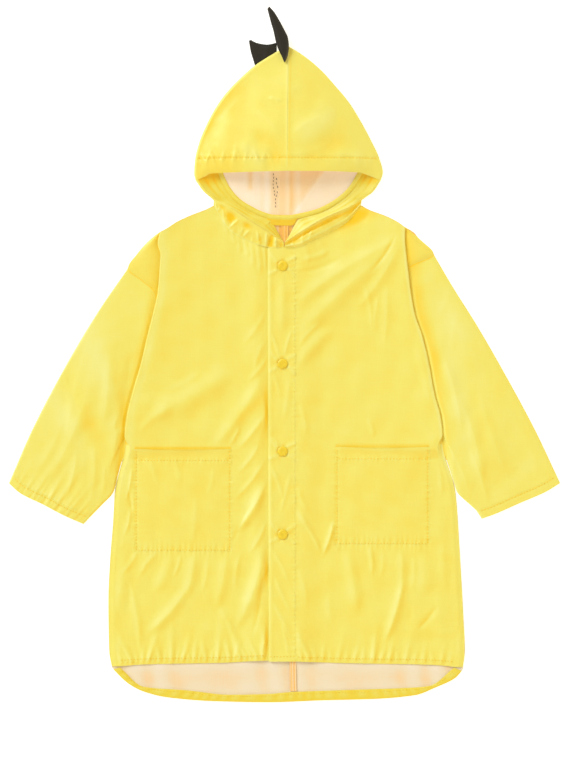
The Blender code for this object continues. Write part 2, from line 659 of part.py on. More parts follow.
def hood_silhouette(points, count):
    """The hood's outline and its outward directions; it starts straight up at the crown."""
    shares = (np.arange(count) / (count - 1.0)) ** 0.9
    line = along(points, shares)
    tangent = np.gradient(line, axis=0)
    tangent /= np.linalg.norm(tangent, axis=1, keepdims=True)
    outward = np.stack([-tangent[:, 1], tangent[:, 0]], axis=1)
    ahead = smoothstep(shares / 0.12)[:, None]
    outward = outward * ahead + np.array([0.0, 1.0]) * (1.0 - ahead)
    return shares, line, outward / np.linalg.norm(outward, axis=1, keepdims=True)


def hood_top_height(x, y, share, base, brim):
    """Height of the hood's upper cloth between its fold (share 0) and its brim (share 1)."""
    swell = 5.0 * np.sin(np.pi * share) * smoothstep((brim - base) / 8.0)
    height = base + (brim - base) * smoothstep(share) ** 0.9 + swell
    return height + fold_height(x, y, HOOD_FOLDS) * np.sin(np.pi * share) ** 0.5


def add_hood(name, sign, outline, cheek, brim, finish, collection):
    """Half of the hood: its top, the side fold and the part that lies on the floor.

    The top runs from the brim to the fold along the outline. The lower part runs from the
    fold to the back neck seam. Past the corner of the brim only the fold's edge goes on.
    """
    crown_count, cheek_count = 13, 5
    shares, line, outward = hood_silhouette(outline, crown_count)
    low = along(cheek, np.linspace(0.0, 1.0, cheek_count))
    run = np.gradient(low, axis=0)
    run /= np.linalg.norm(run, axis=1, keepdims=True)
    low_out = np.stack([-run[:, 1], run[:, 0]], axis=1)
    edge = np.concatenate([line, low[1:]])
    way = np.concatenate([outward, low_out[1:]])
    way[crown_count - 1] = way[crown_count - 2] + low_out[1]
    way /= np.linalg.norm(way, axis=1, keepdims=True)
    radius = np.concatenate([np.full(crown_count, HOOD_FOLD), [2.8, 2.4, 2.0, 1.7]])
    centre = edge - way * (radius + WALL / 2)[:, None]
    turn = np.radians([90.0, 50.0, 10.0, -30.0, -90.0])
    reach = centre[:, None] + way[:, None] * (radius[:, None] * np.cos(turn))[:, :, None]
    height = FLOOR_MID + radius[:, None] * (1.0 + np.sin(turn))
    fold = np.concatenate([reach, height[:, :, None]], axis=2)

    far_out = np.concatenate([shares * 66.0, 66.0 + 18.0 * np.linspace(0, 1, 5)[1:]])
    far = np.stack([far_out, neck_line(far_out)], axis=1)
    seam_shift = np.linspace(0.0, 1.0, 7)
    near = fold[:, -1, :2]
    lower = near[:, None] + (far - near)[:, None] * seam_shift[None, :, None]
    target = sign * (CROWN_SEAM_X + (NAPE_SEAM_X - CROWN_SEAM_X) * seam_shift) + GAP / 2
    pull = np.exp(-np.arange(crown_count + cheek_count - 1) / 3.0)[:, None]
    lower[:, :, 0] += (target - lower[0, :, 0]) * pull
    lower[:, -1, 1] = neck_line(np.abs(lower[:, -1, 0]))
    lower[:, 0] = near
    lower[0, :, 0] += APEX_EASE * (1.0 - seam_shift)
    lower_grid = np.concatenate([lower, np.full(lower.shape[:2] + (1,), FLOOR_MID)], axis=2)

    front = along(brim, shares)
    steps = np.linspace(1.0, 0.0, 9)
    start = fold[:crown_count, 0, :2]
    top = start[:, None] + (front - start)[:, None] * steps[None, :, None]
    seam_x = sign * (CROWN_SEAM_X + (BRIM_SEAM_X - CROWN_SEAM_X) * steps)
    top[0, :, 0] = seam_x + GAP / 2 + APEX_EASE * (1.0 - steps)
    base = FLOOR_MID + 2.0 * HOOD_FOLD
    rim = base + (BRIM_MID - base) * np.clip(1.0 - shares ** 2.2, 0.0, 1.0)
    up = hood_top_height(sign * top[:, :, 0], top[:, :, 1], steps[None, :], base, rim[:, None])
    top_grid = np.concatenate([top, up[:, :, None]], axis=2)
    fold[0, :, 0] = lower_grid[0, 0, 0] = sign * CROWN_SEAM_X + GAP / 2 + APEX_EASE
    top_grid[:, -1] = fold[:crown_count, 0]
    grids = [top_grid, fold, lower_grid]
    for grid in grids:
        grid[:, :, 0] *= sign
    add_cloth(name, grids, finish, collection)


def add_collar(name, sign, ridge, seam, peak, waves, finish, collection):
    """The hood's low front edge, turned down outwards over the neck seam."""
    shares = np.linspace(0.0, 1.0, 15)
    crest = along(ridge, shares)
    foot = along(seam, shares)
    across = np.linspace(0.0, 1.0, 5)
    plan = crest[:, None] + (foot - crest)[:, None] * across[None, :, None]
    crest_up = np.interp(shares, [0.0, 0.15, 0.5, 1.0], [5.6, 8.4, peak, peak - 0.8])
    foot_up = body_height(sign * foot[:, 0], foot[:, 1]) + LAYER + 0.4
    height = crest_up[:, None] + (foot_up - crest_up)[:, None] * across[None, :] ** 1.6
    ruffle = waves * np.sin(np.arange(15) * 2.1)[:, None] * np.sin(np.pi * across)[None, :]
    grid = np.concatenate([plan, (height + ruffle)[:, :, None]], axis=2)
    grid[:, :, 0] *= sign
    add_cloth(name, [grid], finish, collection)


def add_facing(name, sign, ridge, inner, peak, finish, collection):
    """The turned-in cloth of the hood's front edge, seen inside the face opening."""
    shares = np.linspace(0.0, 1.0, 16)
    crest = along(ridge, shares)
    foot = along(inner, shares)
    across = np.linspace(0.0, 1.0, 4)
    plan = crest[:, None] + (foot - crest)[:, None] * across[None, :, None]
    crest_up = np.interp(shares, [0.0, 0.3, 0.45, 0.75, 1.0], [2.2, 3.6, 6.2, peak, peak - 2.0])
    height = UPPER_MID + (crest_up - UPPER_MID)[:, None] * (1.0 - across[None, :]) ** 1.3
    grid = np.concatenate([plan, height[:, :, None]], axis=2)
    grid[:, :, 0] *= sign
    add_cloth(name, [grid], finish, collection)


def add_binding(finish, collection):
    """The narrow band that covers the neck seam inside the hood."""
    shares = np.linspace(0.0, 1.0, 23)
    inner = along(BINDING_INNER, shares)
    outer = offset_line(inner, BINDING_WIDTH)
    plan = np.stack([inner, (inner + outer) / 2, outer], axis=1)
    height = np.full(plan.shape[:2] + (1,), UPPER_MID)
    add_cloth("neck_binding", [np.concatenate([plan, height], axis=2)], finish, collection)


def add_back_tape(finish, collection):
    """The tape on the centre-back seam, from the neck binding to the hem facing."""
    y = np.linspace(180.5, -453.5, 12)
    x = back_seam_x(y)
    grid = np.stack([np.stack([x + way * TAPE_WIDTH / 2, y, np.full(12, UPPER_MID)], axis=1)
                     for way in (-1.0, 0.0, 1.0)], axis=1)
    add_cloth("back_seam_tape", [grid], finish, collection)


def add_hem_facing(finish, collection):
    """The back hem turned up inside, a strip along the curved hem."""
    shares = np.linspace(0.0, 1.0, 23)
    outer = along(BACK_HEM, shares * 0.96 + 0.02)
    inner = along(HEM_FACING, shares)
    plan = np.stack([outer, (outer + inner) / 2, inner], axis=1)
    height = np.full(plan.shape[:2] + (1,), UPPER_MID)
    add_cloth("hem_facing_back", [np.concatenate([plan, height], axis=2)], finish, collection)


def add_spikes(finish, collection):
    """Two flat sewn spikes: one stands over the crown, one lies beside it on the floor."""
    rows = np.array(SPIKE_FRONT)
    across = np.linspace(0.0, 1.0, 4)
    x = rows[:, 1:2] + (rows[:, 2:3] - rows[:, 1:2]) * across
    y = rows[:, 0:1] + 0.0 * across + 3.0 * (across - 0.5)
    height = rows[:, 3:4] + 1.2 * np.sin(np.pi * across)
    add_cloth("spike_front", [np.stack([x, y, height], axis=-1)], finish, collection, SPIKE_WALL)
    rows = np.array(SPIKE_REAR)
    left, right = rows[:, :2], rows[:, 2:4]
    plan = left[:, None] + (right - left)[:, None] * across[None, :, None]
    height = np.full(plan.shape[:2] + (1,), SPIKE_WALL / 2)
    grid = np.concatenate([plan, height], axis=2)
    add_cloth("spike_rear", [grid], finish, collection, SPIKE_WALL)


def add_snap(name, y, finish, collection):
    """A domed snap cap: a profile turned about its own axis, seated on the placket."""
    profile = [(0.0, SNAP_RISE - 0.4), (3.2, SNAP_RISE), (5.6, SNAP_RISE - 0.4),
               (SNAP_RADIUS, 0.8), (SNAP_RADIUS - 0.3, 0.0), (0.0, 0.0)]
    mesh = bpy.data.meshes.new(name)
    verts = [(radius * MM, 0.0, height * MM) for radius, height in profile]
    mesh.from_pydata(verts, [(k, k + 1) for k in range(len(verts) - 1)], [])
    cap = add_object(name, mesh, finish, collection)
    turn = cap.modifiers.new("turn", "SCREW")
    turn.steps = 16
    turn.render_steps = 16
    turn.use_merge_vertices = True
    turn.merge_threshold = 0.00001
    cap.location = (SNAP_X * MM, y * MM, (CENTRE_MID + WALL / 2 + GAP) * MM)


def main():
    """Clear the scene and make every piece."""
    for thing in list(bpy.data.objects):
        bpy.data.objects.remove(thing, do_unlink=True)
    coat = bpy.data.collections.new("raincoat")
    bpy.context.scene.collection.children.link(coat)
    yellow, inner_yellow = ((0.93, 0.78, 0.16), 0.42), ((0.92, 0.70, 0.10), 0.5)
    black, cap = ((0.035, 0.03, 0.03), 0.5), ((0.86, 0.60, 0.04), 0.3)

    add_back("back_left", LEFT, yellow, coat)
    add_back("back_right", RIGHT, yellow, coat)
    add_back_tape(inner_yellow, coat)
    add_hem_facing(inner_yellow, coat)
    left_front = add_front("front_left", LEFT, yellow, coat)
    right_front = add_front("front_right", RIGHT, yellow, coat)
    add_placket(RIGHT, right_front, yellow, coat)
    add_pocket("pocket_left", LEFT, left_front, yellow, coat)
    add_pocket("pocket_right", RIGHT, right_front, yellow, coat)
    add_sleeve("sleeve_left", LEFT, yellow, coat)
    add_sleeve("sleeve_right", RIGHT, yellow, coat)
    add_cuff("cuff_left", LEFT, 9, 1.4, yellow, coat)
    add_cuff("cuff_right", RIGHT, 2, 0.5, yellow, coat)
    add_hood("hood_left", -1, LEFT_HOOD, LEFT_CHEEK, LEFT_BRIM, yellow, coat)
    add_hood("hood_right", 1, RIGHT_HOOD, RIGHT_CHEEK, RIGHT_BRIM, yellow, coat)
    add_collar("collar_left", -1, LEFT_RIDGE, LEFT_COLLAR, 9.6, 0.7, yellow, coat)
    add_collar("collar_right", 1, RIGHT_RIDGE, RIGHT_COLLAR, 11.2, 0.25, yellow, coat)
    seam_side = offset_line(BINDING_INNER, BINDING_WIDTH + 3 * GAP)
    left_in = [(-x, y) for x, y in seam_side[:6]] + LEFT_FACING_END
    left_out = LEFT_FACING + [(out - 1.4, y + 1.4) for out, y in LEFT_RIDGE[1:]]
    right_in = list(seam_side[:-5:-1])
    add_facing("hood_facing_left", -1, left_out, left_in, 7.8, inner_yellow, coat)
    add_facing("hood_facing_right", 1, RIGHT_FACING, right_in, 6.4, inner_yellow, coat)
    add_binding(inner_yellow, coat)
    add_spikes(black, coat)
    for number, y in enumerate(SNAP_Y, start=1):
        add_snap(f"snap_{number}", y, cap, coat)


main()
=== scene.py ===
"""Looks of a small child's hooded raincoat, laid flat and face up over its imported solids.

The tables hold millimetres and the meshes hold metres. +Z is up, +Y runs to the hood and -X is
the left of someone who looks down at the coat. In a table of one side, "out" is the distance
outwards from the middle line. Every cloth piece is a grid of points worked out from outlines,
folds and creases, and a Solidify modifier gives it a thin wall.
"""
from __future__ import annotations

import logging
import math
from dataclasses import dataclass
from enum import Enum
from typing import Iterable, Sequence

import bpy
import numpy as np
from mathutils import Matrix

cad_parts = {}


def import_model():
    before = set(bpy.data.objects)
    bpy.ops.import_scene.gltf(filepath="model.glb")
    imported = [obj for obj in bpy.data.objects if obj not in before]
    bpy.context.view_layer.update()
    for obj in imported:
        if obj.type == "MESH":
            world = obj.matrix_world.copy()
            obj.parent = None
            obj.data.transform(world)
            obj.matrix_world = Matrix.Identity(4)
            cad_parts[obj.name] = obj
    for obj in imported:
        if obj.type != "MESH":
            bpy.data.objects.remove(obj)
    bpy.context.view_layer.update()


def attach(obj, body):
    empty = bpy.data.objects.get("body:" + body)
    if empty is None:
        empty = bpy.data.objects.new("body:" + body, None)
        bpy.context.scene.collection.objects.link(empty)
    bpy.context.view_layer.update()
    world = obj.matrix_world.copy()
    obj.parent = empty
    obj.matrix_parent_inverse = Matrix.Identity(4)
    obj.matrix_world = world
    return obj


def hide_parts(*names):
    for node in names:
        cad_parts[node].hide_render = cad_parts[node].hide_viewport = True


Array = np.ndarray
Points = Sequence[Sequence[float]]
Colour = tuple[float, float, float]
Grids = dict[str, np.ndarray]
Tree = bpy.types.NodeTree
Socket = bpy.types.NodeSocket
Material = bpy.types.Material

MM = .001
WALL = 1.2                  # wall of the solids, which sets the heights of the layers
SHELL = .7                 # wall of the cloth that is seen
POCKET_WALL = .25
COLLAR_WALL = .2
GAP = .3
LAYER = WALL + GAP
FLOOR_MID = WALL / 2
UPPER_MID = FLOOR_MID + LAYER
FOLD_PITCH = 1.9
SEAM_MID = 2.3
CENTRE_MID = 5.4
SNAP_RADIUS = 6.9
SNAP_Y = (120, -12, -130, -242)
SNAP_X = -2.4
PLACKET_X = (-21, 15)
SEAM_GAP = .04             # between two pieces sewn edge to edge
SEAM_X = 15.1
UNDERLAP_X = 11.5
FOLD_END = -120
SIDE_FALL = 9
HOOD_FOLD = 3
BRIM_MID = 24
CROWN_SEAM_X = 4.7
BRIM_SEAM_X = 3.4
NAPE_SEAM_X = -10
APEX_EASE = .05
BRIM_CASING = 19          # from the brim's edge to its stitch line
BRIM_Y = 246
STITCH_Y = BRIM_Y + BRIM_CASING
BINDING_WIDTH = 6
TOP_COLUMNS = 72
POCKET_COLUMNS = 79         # of the front's grid, from the first column of the pocket
POCKET_START = 18           # columns from the flat cloth's first to the pocket's
HEM_START = 21              # column of a front where its hem's stitches begin
SLEEVE_COLUMNS = 88
CUFF_COLUMNS = 121
CUFF_ROWS = 9
LEAST_WIDTH = .0102        # metres, just over the least that a sheet may have
BACKS = ("back_panel_left", "back_panel_right")
BODY = "root"

log = logging.getLogger("raincoat")


def ease(value: Array | float) -> Array:
    """Rise from 0 to 1 with level ends: 3 s squared less 2 s cubed, s clipped to 0 to 1."""
    share = np.clip(value, .0, 1)
    return share * share * (3 - 2 * share)


def bell(distance: Array | float, width: Array | float) -> Array:
    """A swell of height 1: exp of minus (distance / width) squared."""
    return np.exp(-(distance / width) ** 2)


def ramp(count: int) -> Array:
    """Even shares from 0 to 1."""
    return np.linspace(.0, 1, count)


def arch(share: Array) -> Array:
    """Half a sine wave, 0 at shares 0 and 1."""
    return np.sin(np.pi * share)


def unit(ways: Array) -> Array:
    """Vectors along the last axis, scaled to length 1."""
    return ways / np.linalg.norm(ways, axis=-1, keepdims=True)


def left_of(line: Array) -> Array:
    """Unit vectors to the left of a line's direction."""
    run = np.gradient(line, axis=0)
    return unit(np.stack([-run[:, 1], run[:, 0]], axis=1))


def reach_of(line: Array) -> Array:
    """Distance along a line at each of its points."""
    return np.concatenate([[.0], np.cumsum(np.linalg.norm(np.diff(line, axis=0), axis=1))])


def read_line(place: Array, reach: Array, line: Array) -> Array:
    """Points of a line at places along its reach."""
    return np.stack([np.interp(place, reach, column) for column in line.T], axis=-1)


def between(first: Array, last: Array, shares: Array) -> Array:
    """Rows of points from one line to another, at shares of the way across."""
    return first[:, None] + (last - first)[:, None] * shares[None, :, None]


def raised(plan: Array, height: Array) -> Array:
    """The points of a plan at their heights."""
    return np.concatenate([plan, height[:, :, None]], axis=2)


def smooth_through(xs: Array, ys: Array, x: Array) -> Array:
    """A monotone cubic through points: each slope is the harmonic mean of its two neighbours'.

    Args:
        xs: rising places of the points.
        ys: values there.
        x: places to read.

    Returns:
        The values at x; ends are held level outside the points.
    """
    xs, ys = np.asarray(xs, float), np.asarray(ys, float)
    step = np.diff(xs)
    slope = np.diff(ys) / step
    same = slope[1:] * slope[:-1] > .0
    total = np.where(same, slope[1:] + slope[:-1], 1)
    inner = np.where(same, 2 * slope[1:] * slope[:-1] / total, .0)
    tangent = np.concatenate([slope[:1], inner, slope[-1:]])
    x = np.clip(x, xs[0], xs[-1])
    cell = np.clip(np.searchsorted(xs, x, side="right") - 1, 0, len(step) - 1)
    h, t = step[cell], (x - xs[cell]) / step[cell]
    return ((1 + 2 * t) * (1 - t) ** 2 * ys[cell] + t * (1 - t) ** 2 * h * tangent[cell]
        + t * t * (3 - 2 * t) * ys[cell + 1] + t * t * (t - 1) * h * tangent[cell + 1])


def out_at(points: Points, y: Array | float) -> Array:
    """Distance outwards of a side outline, rows of (out, y) with falling y, at y."""
    table = np.array(points, dtype=float)
    return smooth_through(-table[:, 1], table[:, 0], -np.asarray(y, dtype=float))


def y_at(points: Points, x: Array | float) -> Array:
    """y of an outline that runs across, rows of (x, y) in any order, at x."""
    table = np.unique(np.array([tuple(p) for p in points], dtype=float), axis=0)
    return smooth_through(table[:, 0], table[:, 1], np.asarray(x, dtype=float))


def along(points: Points, shares: Array) -> Array:
    """Points at shares of an outline's length, on a smooth curve through its corners.

    Args:
        points: rows of (x, y) or (x, y, height).
        shares: from 0 at the first row to 1 at the last.

    Returns:
        One row for each share.
    """
    table = np.array(points, dtype=float)
    reach = reach_of(table)
    return np.stack([smooth_through(reach / reach[-1], row, shares) for row in table.T], axis=-1)


def offset_line(points: Points, distance: float) -> Array:
    """Move a line of (x, y) sideways, to the right of its direction."""
    line = np.array(points, dtype=float)
    return line - distance * left_of(line)


def refine_rows(grid: Array, keys: Array, fine: Array) -> Array:
    """Add rows to a grid by a smooth curve down each column.

    Args:
        grid: coarse rows of points, (rows, columns, any).
        keys: rising place of each coarse row.
        fine: places of the new rows.

    Returns:
        The grid with the new rows.
    """
    flat = grid.reshape(len(grid), -1)
    columns = [smooth_through(keys, flat[:, k], fine) for k in range(flat.shape[1])]
    return np.stack(columns, axis=1).reshape((len(fine),) + grid.shape[1:])


def normals_of(grid: Array) -> Array:
    """Unit normals of a grid: the cross product of its two gradients.

    Args:
        grid: (rows, columns, 3).

    Returns:
        (rows, columns, 3), turned upwards.
    """
    normal = np.cross(np.gradient(grid, axis=0), np.gradient(grid, axis=1))
    normal /= np.maximum(np.linalg.norm(normal, axis=2, keepdims=True), 1e-9)
    return normal * np.where(normal[:, :, 2:3] < .0, -1, 1)


@dataclass(frozen=True)
class Crease:
    """A ridge, or a trough where rise is negative, along a bowed line with faded ends."""
    x0: float
    y0: float
    x1: float
    y1: float
    bow: float
    width: float
    rise: float
    crisp: float = .0

    def height(self, x: Array, y: Array) -> Array:
        """Rise times a fade along the line, times a profile across it.

        The line is a parabola: its sideways place at share t is 4 t (1 - t) times the bow.
        The profile is a bell, mixed with exp(-distance / width) by the share called crisp.

        Args:
            x, y: places on the plan.

        Returns:
            Height to add.
        """
        run = np.array([self.x1 - self.x0, self.y1 - self.y0])
        length = float(np.hypot(*run))
        ahead = run / length
        share = ((x - self.x0) * ahead[0] + (y - self.y0) * ahead[1]) / length
        side = (x - self.x0) * -ahead[1] + (y - self.y0) * ahead[0]
        inside = np.clip(share, .0, 1)
        away = side - 4 * self.bow * inside * (1 - inside)
        fade = ease(share / .35 + .1) * ease((1 - share) / .35 + .1)
        width = self.width * (.6 + .4 * fade)
        profile = (1 - self.crisp) * bell(away, width)
        profile = profile + self.crisp * np.exp(-np.abs(away) / (.6 * width))
        return self.rise * fade * profile


def relief(creases: Iterable[Crease], x: Array, y: Array) -> Array:
    """Sum of the heights of creases at x, y."""
    return sum((crease.height(x, y) for crease in creases), np.zeros(np.broadcast(x, y).shape))


def creases_of(rows: Points) -> list[Crease]:
    """Creases from rows of x0, y0, x1, y1, bow, width, rise and crisp."""
    return [Crease(*row) for row in rows]


def unevenness(x: Array, y: Array, depth: float, seed: float) -> Array:
    """Slow waviness of cloth that was folded away: four sine waves of uneven directions.

    Args:
        x, y: places on the plan.
        depth: height of the sum.
        seed: shifts the waves, so that no two pieces are alike.

    Returns:
        Height to add.
    """
    waves = ((61, .3, .34), (43, 1.9, .28), (31, 2.6, .22), (22, .9, .16))
    total = np.zeros(np.broadcast(x, y).shape)
    for length, turn, share in waves:
        place = x * math.cos(turn + seed) + y * math.sin(turn + seed)
        across = -x * math.sin(turn + seed) + y * math.cos(turn + seed)
        bend = 9 * np.sin(across / (1.7 * length) + 3.1 * seed)
        total += share * np.sin((place + bend) * 2 * math.pi / length + 5.3 * seed)
    return depth * total


class Face(Enum):
    """Which side of a cloth piece looks up, out of its grid."""
    OUTER_UP = 1
    OUTER_DOWN = 2


def face_for(turn: int) -> Face:
    """The outer side up for a positive turn, else down."""
    return Face.OUTER_UP if turn > 0 else Face.OUTER_DOWN


def material_from(name: str, group: Tree, given: dict[str, Sequence[float] | float], own: dict[str, float],
        bump: float, depth: float) -> Material:
    """A material that takes its colour, roughness and bump from a shared group.

    Args:
        name: the material's name.
        group: the shared group.
        given: values for the group's sockets.
        own: values for the shader's sockets; with an Emission Strength the material emits painted light in
            its own colour.
        bump, depth: the bump's strength and distance.

    Returns:
        The material.
    """
    material = bpy.data.materials.new(name)
    material.use_nodes = True
    tree = material.node_tree
    shader = tree.nodes["Principled BSDF"]
    cloth = tree.nodes.new("ShaderNodeGroup")
    cloth.node_tree = group
    for node, values in ((shader, own), (cloth, given)):
        for label, value in values.items():
            node.inputs[label].default_value = value
    tree.links.new(cloth.outputs["Colour"], shader.inputs["Base Color"])
    if "Emission Strength" in own:
        tree.links.new(cloth.outputs["Colour"], shader.inputs["Emission Color"])
    tree.links.new(cloth.outputs["Roughness"], shader.inputs["Roughness"])
    node = tree.nodes.new("ShaderNodeBump")
    node.inputs["Strength"].default_value = bump
    node.inputs["Distance"].default_value = depth
    tree.links.new(cloth.outputs["Height"], node.inputs["Height"])
    tree.links.new(node.outputs["Normal"], shader.inputs["Normal"])
    return material


@dataclass(frozen=True)
class RainCloth:
    """Coated rain cloth: a thin plain weave with slubs, glossy film and a lining side.

    Its painted glow is painted light: the cloth emits light in its own colour all over, which lifts its
    shade as light coming through thin cloth would.
    """
    name: str
    colour: Colour
    painted_shade: Colour
    painted_light: Colour
    painted_glow: float
    roughness: float = .42
    sheen: float = .12

    def build(self, weave: Tree) -> Material:
        """A material that mixes its painted shade and painted light colours by the crease attribute."""
        given = {"Colour": (*self.colour, 1), "Deep": (*self.painted_shade, 1), "Pale": (*self.painted_light, 1),
            "Roughness": self.roughness}
        own = {"Roughness": self.roughness, "Sheen Weight": self.sheen, "Sheen Roughness": .4,
            "Specular IOR Level": .42, "Emission Strength": self.painted_glow}
        return material_from(self.name, weave, given, own, .9, .001)


@dataclass(frozen=True)
class PlainFinish:
    """Thread, plastic or satin: one colour with a fine grain in its roughness and bump."""
    name: str
    colour: Colour
    roughness: float
    grain: float
    bump: float
    coat: float = .0
    sheen: float = .0

    def build(self, grain: Tree) -> Material:
        """A material of one colour."""
        given = {"Colour": (*self.colour, 1), "Roughness": self.roughness, "Scale": self.grain}
        own = {"Coat Weight": self.coat, "Coat Roughness": .15, "Sheen Weight": self.sheen,
            "Sheen Roughness": .35}
        return material_from(self.name, grain, given, own, self.bump, .0002)


class Group:
    """A shader node group with Colour, Roughness and Height out, and short ways to add nodes."""

    def __init__(self, name: str, given: dict[str, str]) -> None:
        """Make the group, its sockets and its two end nodes.

        Args:
            name: the group's name.
            given: kind of each input, "Color" or "Float".
        """
        self.tree = bpy.data.node_groups.new(name, "ShaderNodeTree")
        ends = {"Colour": "Color", "Roughness": "Float", "Height": "Float"}
        for way, sockets in (("INPUT", given), ("OUTPUT", ends)):
            for label, kind in sockets.items():
                self.tree.interface.new_socket(name=label, in_out=way, socket_type="NodeSocket" + kind)
        self.given = self.tree.nodes.new("NodeGroupInput").outputs
        self.out = self.tree.nodes.new("NodeGroupOutput").inputs

    def noise(self, stretch: Colour, scale: float, detail: float, distortion: float = .0) -> Socket:
        """Noise on Object coordinates, stretched by a Mapping node.

        Args:
            stretch: scale of each axis.
            scale, detail: of the noise.
            distortion: of ridged noise; the noise is plain without it.

        Returns:
            The noise's Fac output.
        """
        place = self.tree.nodes.new("ShaderNodeTexCoord")
        mapping = self.tree.nodes.new("ShaderNodeMapping")
        mapping.inputs["Scale"].default_value = stretch
        noise = self.tree.nodes.new("ShaderNodeTexNoise")
        noise.inputs["Scale"].default_value = scale
        noise.inputs["Detail"].default_value = detail
        if distortion:
            noise.noise_type = "RIDGED_MULTIFRACTAL"
            noise.inputs["Distortion"].default_value = distortion
        self.tree.links.new(place.outputs["Object"], mapping.inputs["Vector"])
        self.tree.links.new(mapping.outputs["Vector"], noise.inputs["Vector"])
        return noise.outputs["Fac"]

    def read(self, attribute: str) -> Socket:
        """An attribute of the mesh."""
        node = self.tree.nodes.new("ShaderNodeAttribute")
        node.attribute_name = attribute
        return node.outputs["Fac"]

    def math(self, operation: str, first: Socket | float, second: Socket | float) -> Socket:
        """A Math node.

        Args:
            operation: the node's operation.
            first, second: values or links.

        Returns:
            The node's output.
        """
        node = self.tree.nodes.new("ShaderNodeMath")
        node.operation = operation
        for socket, value in zip(node.inputs, (first, second)):
            if isinstance(value, Socket):
                self.tree.links.new(value, socket)
            else:
                socket.default_value = value
        return node.outputs[0]

    def add(self, first: Socket, second: Socket | float) -> Socket:
        """Sum of two."""
        return self.math("ADD", first, second)

    def times(self, first: Socket, second: Socket | float) -> Socket:
        """Product of two."""
        return self.math("MULTIPLY", first, second)

    def mix(self, share: Socket, first: Socket, second: Socket) -> Socket:
        """Two colours mixed by the share of the second."""
        node = self.tree.nodes.new("ShaderNodeMix")
        node.data_type = "RGBA"
        for place, socket in ((0, share), (6, first), (7, second)):
            self.tree.links.new(socket, node.inputs[place])
        return node.outputs[2]


def weave_group() -> Tree:
    """Plain weave with slubs along both threads, and crinkles from ridged noise.

    The crease attribute holds painted shade below 0 and painted light above it, and mixes in the Deep or the
    Pale colour by it; the cloudy noise and the threads are the cloth's own uneven tone. The crinkle
    attribute says how crumpled the cloth is. Height is in millimetres.

    Returns:
        The group.
    """
    group = Group("rain_cloth_weave", {"Colour": "Color", "Deep": "Color", "Pale": "Color",
        "Roughness": "Float"})
    given, out, links = group.given, group.out, group.tree.links
    warp = group.noise((1, .03, 1), 1500, 2)
    weft = group.noise((.03, 1, 1), 1500, 2)
    cloud = group.noise((1, 1, 1), 26, 3)
    threads = group.add(warp, weft)
    long_ridges = group.noise((1, .42, 1), 26, 2, .5)
    short_ridges = group.noise((.75, 1, 1), 62, 1, .8)
    ridges = group.add(long_ridges, group.times(short_ridges, .35))
    crumple = group.times(group.times(ridges, group.read("crinkle")), 1.6)
    # Painted shade and painted light from the crease attribute, with the cloth's own cloudy tone and
    # threads.
    value = group.add(group.read("crease"), group.times(group.math("SUBTRACT", cloud, .5), .5))
    value = group.add(value, group.times(group.math("SUBTRACT", threads, 1), .35))
    # Above 0 the value mixes towards the painted light colour, below 0 towards the painted shade colour.
    paler = group.math("MAXIMUM", value, 0)
    deeper = group.math("MAXIMUM", group.times(value, -1), 0)
    for socket in (paler, deeper):
        socket.node.use_clamp = True
    tinted = group.mix(paler, given["Colour"], given["Pale"])
    links.new(group.mix(deeper, tinted, given["Deep"]), out["Colour"])
    links.new(group.add(given["Roughness"], group.times(value, .08)), out["Roughness"])
    links.new(group.add(group.times(threads, .05), crumple), out["Height"])
    return group.tree


def grain_group() -> Tree:
    """Fine grain for thread, plastic and satin.

    Returns:
        The group.
    """
    group = Group("fine_grain", {"Colour": "Color", "Roughness": "Float", "Scale": "Float"})
    given, out, links = group.given, group.out, group.tree.links
    grain = group.noise((1, 1, 1), 600, 3)
    links.new(given["Scale"], grain.node.inputs["Scale"])
    swing = group.math("SUBTRACT", grain, .5)
    bright = group.tree.nodes.new("ShaderNodeHueSaturation")
    links.new(given["Colour"], bright.inputs["Color"])
    links.new(group.add(group.times(swing, .35), 1), bright.inputs["Value"])
    links.new(bright.outputs["Color"], out["Colour"])
    links.new(group.add(given["Roughness"], group.times(swing, .2)), out["Roughness"])
    links.new(grain, out["Height"])
    return group.tree


@dataclass(frozen=True)
class Cover:
    """What a cloth piece is made of: its slot in the record, its outer and its inner side."""
    slot: str
    outer: Material
    inner: Material


class Palette:
    """All materials of the coat and of the studio."""

    def __init__(self) -> None:
        """Build the groups once and each material from them."""
        weave, grain = weave_group(), grain_group()
        # Each cloth gives its own colour, its painted shade colour, its painted light colour, and its
        # painted glow, which is emitted painted light.
        outer = RainCloth("yellow_rain_cloth", (.75, .69, .147), (.82, .545, .015), (.74, .755, .31),
            .1).build(weave)
        lining = RainCloth("lining_side", (.69, .6, .455), (.78, .43, .09), (.71, .675, .63), .19, .5,
            .2).build(weave)
        # The hood's inside has the strongest painted glow: painted light that cancels the brim's shadow on
        # it.
        glowing_lining = RainCloth("lit_through_lining", (.66, .505, .315), (.66, .4, .14), (.66, .59, .5), .44, .5,
            .2).build(weave)
        facing = RainCloth("bound_edges", (.615, .5, .052), (.67, .39, .008), (.62, .6, .17),
            .31).build(weave)
        satin = PlainFinish("black_satin", (.018, .017, .016), .36, 900, .15, sheen=.15).build(grain)
        self.thread = PlainFinish("yellow_thread", (.86, .6, .04), .6, 4000, .3).build(grain)
        self.dark_thread = PlainFinish("dark_thread", (.12, .08, .05), .6, 4000, .3).build(grain)
        self.cap = PlainFinish("snap_plastic", (.8, .61, .035), .5, 250, .04, coat=.15).build(grain)
        self.floor = PlainFinish("pale_table", (.7, .7, .7), .8, 3000, .02).build(grain)
        self.coat = Cover("raincoat_yellow", outer, lining)
        self.hood = Cover("raincoat_yellow", outer, glowing_lining)
        self.collar = Cover("raincoat_yellow", outer, facing)
        self.facing = Cover("facing_yellow", facing, facing)
        self.tape = Cover("facing_yellow", lining, lining)
        self.spike = Cover("spike_black", satin, satin)


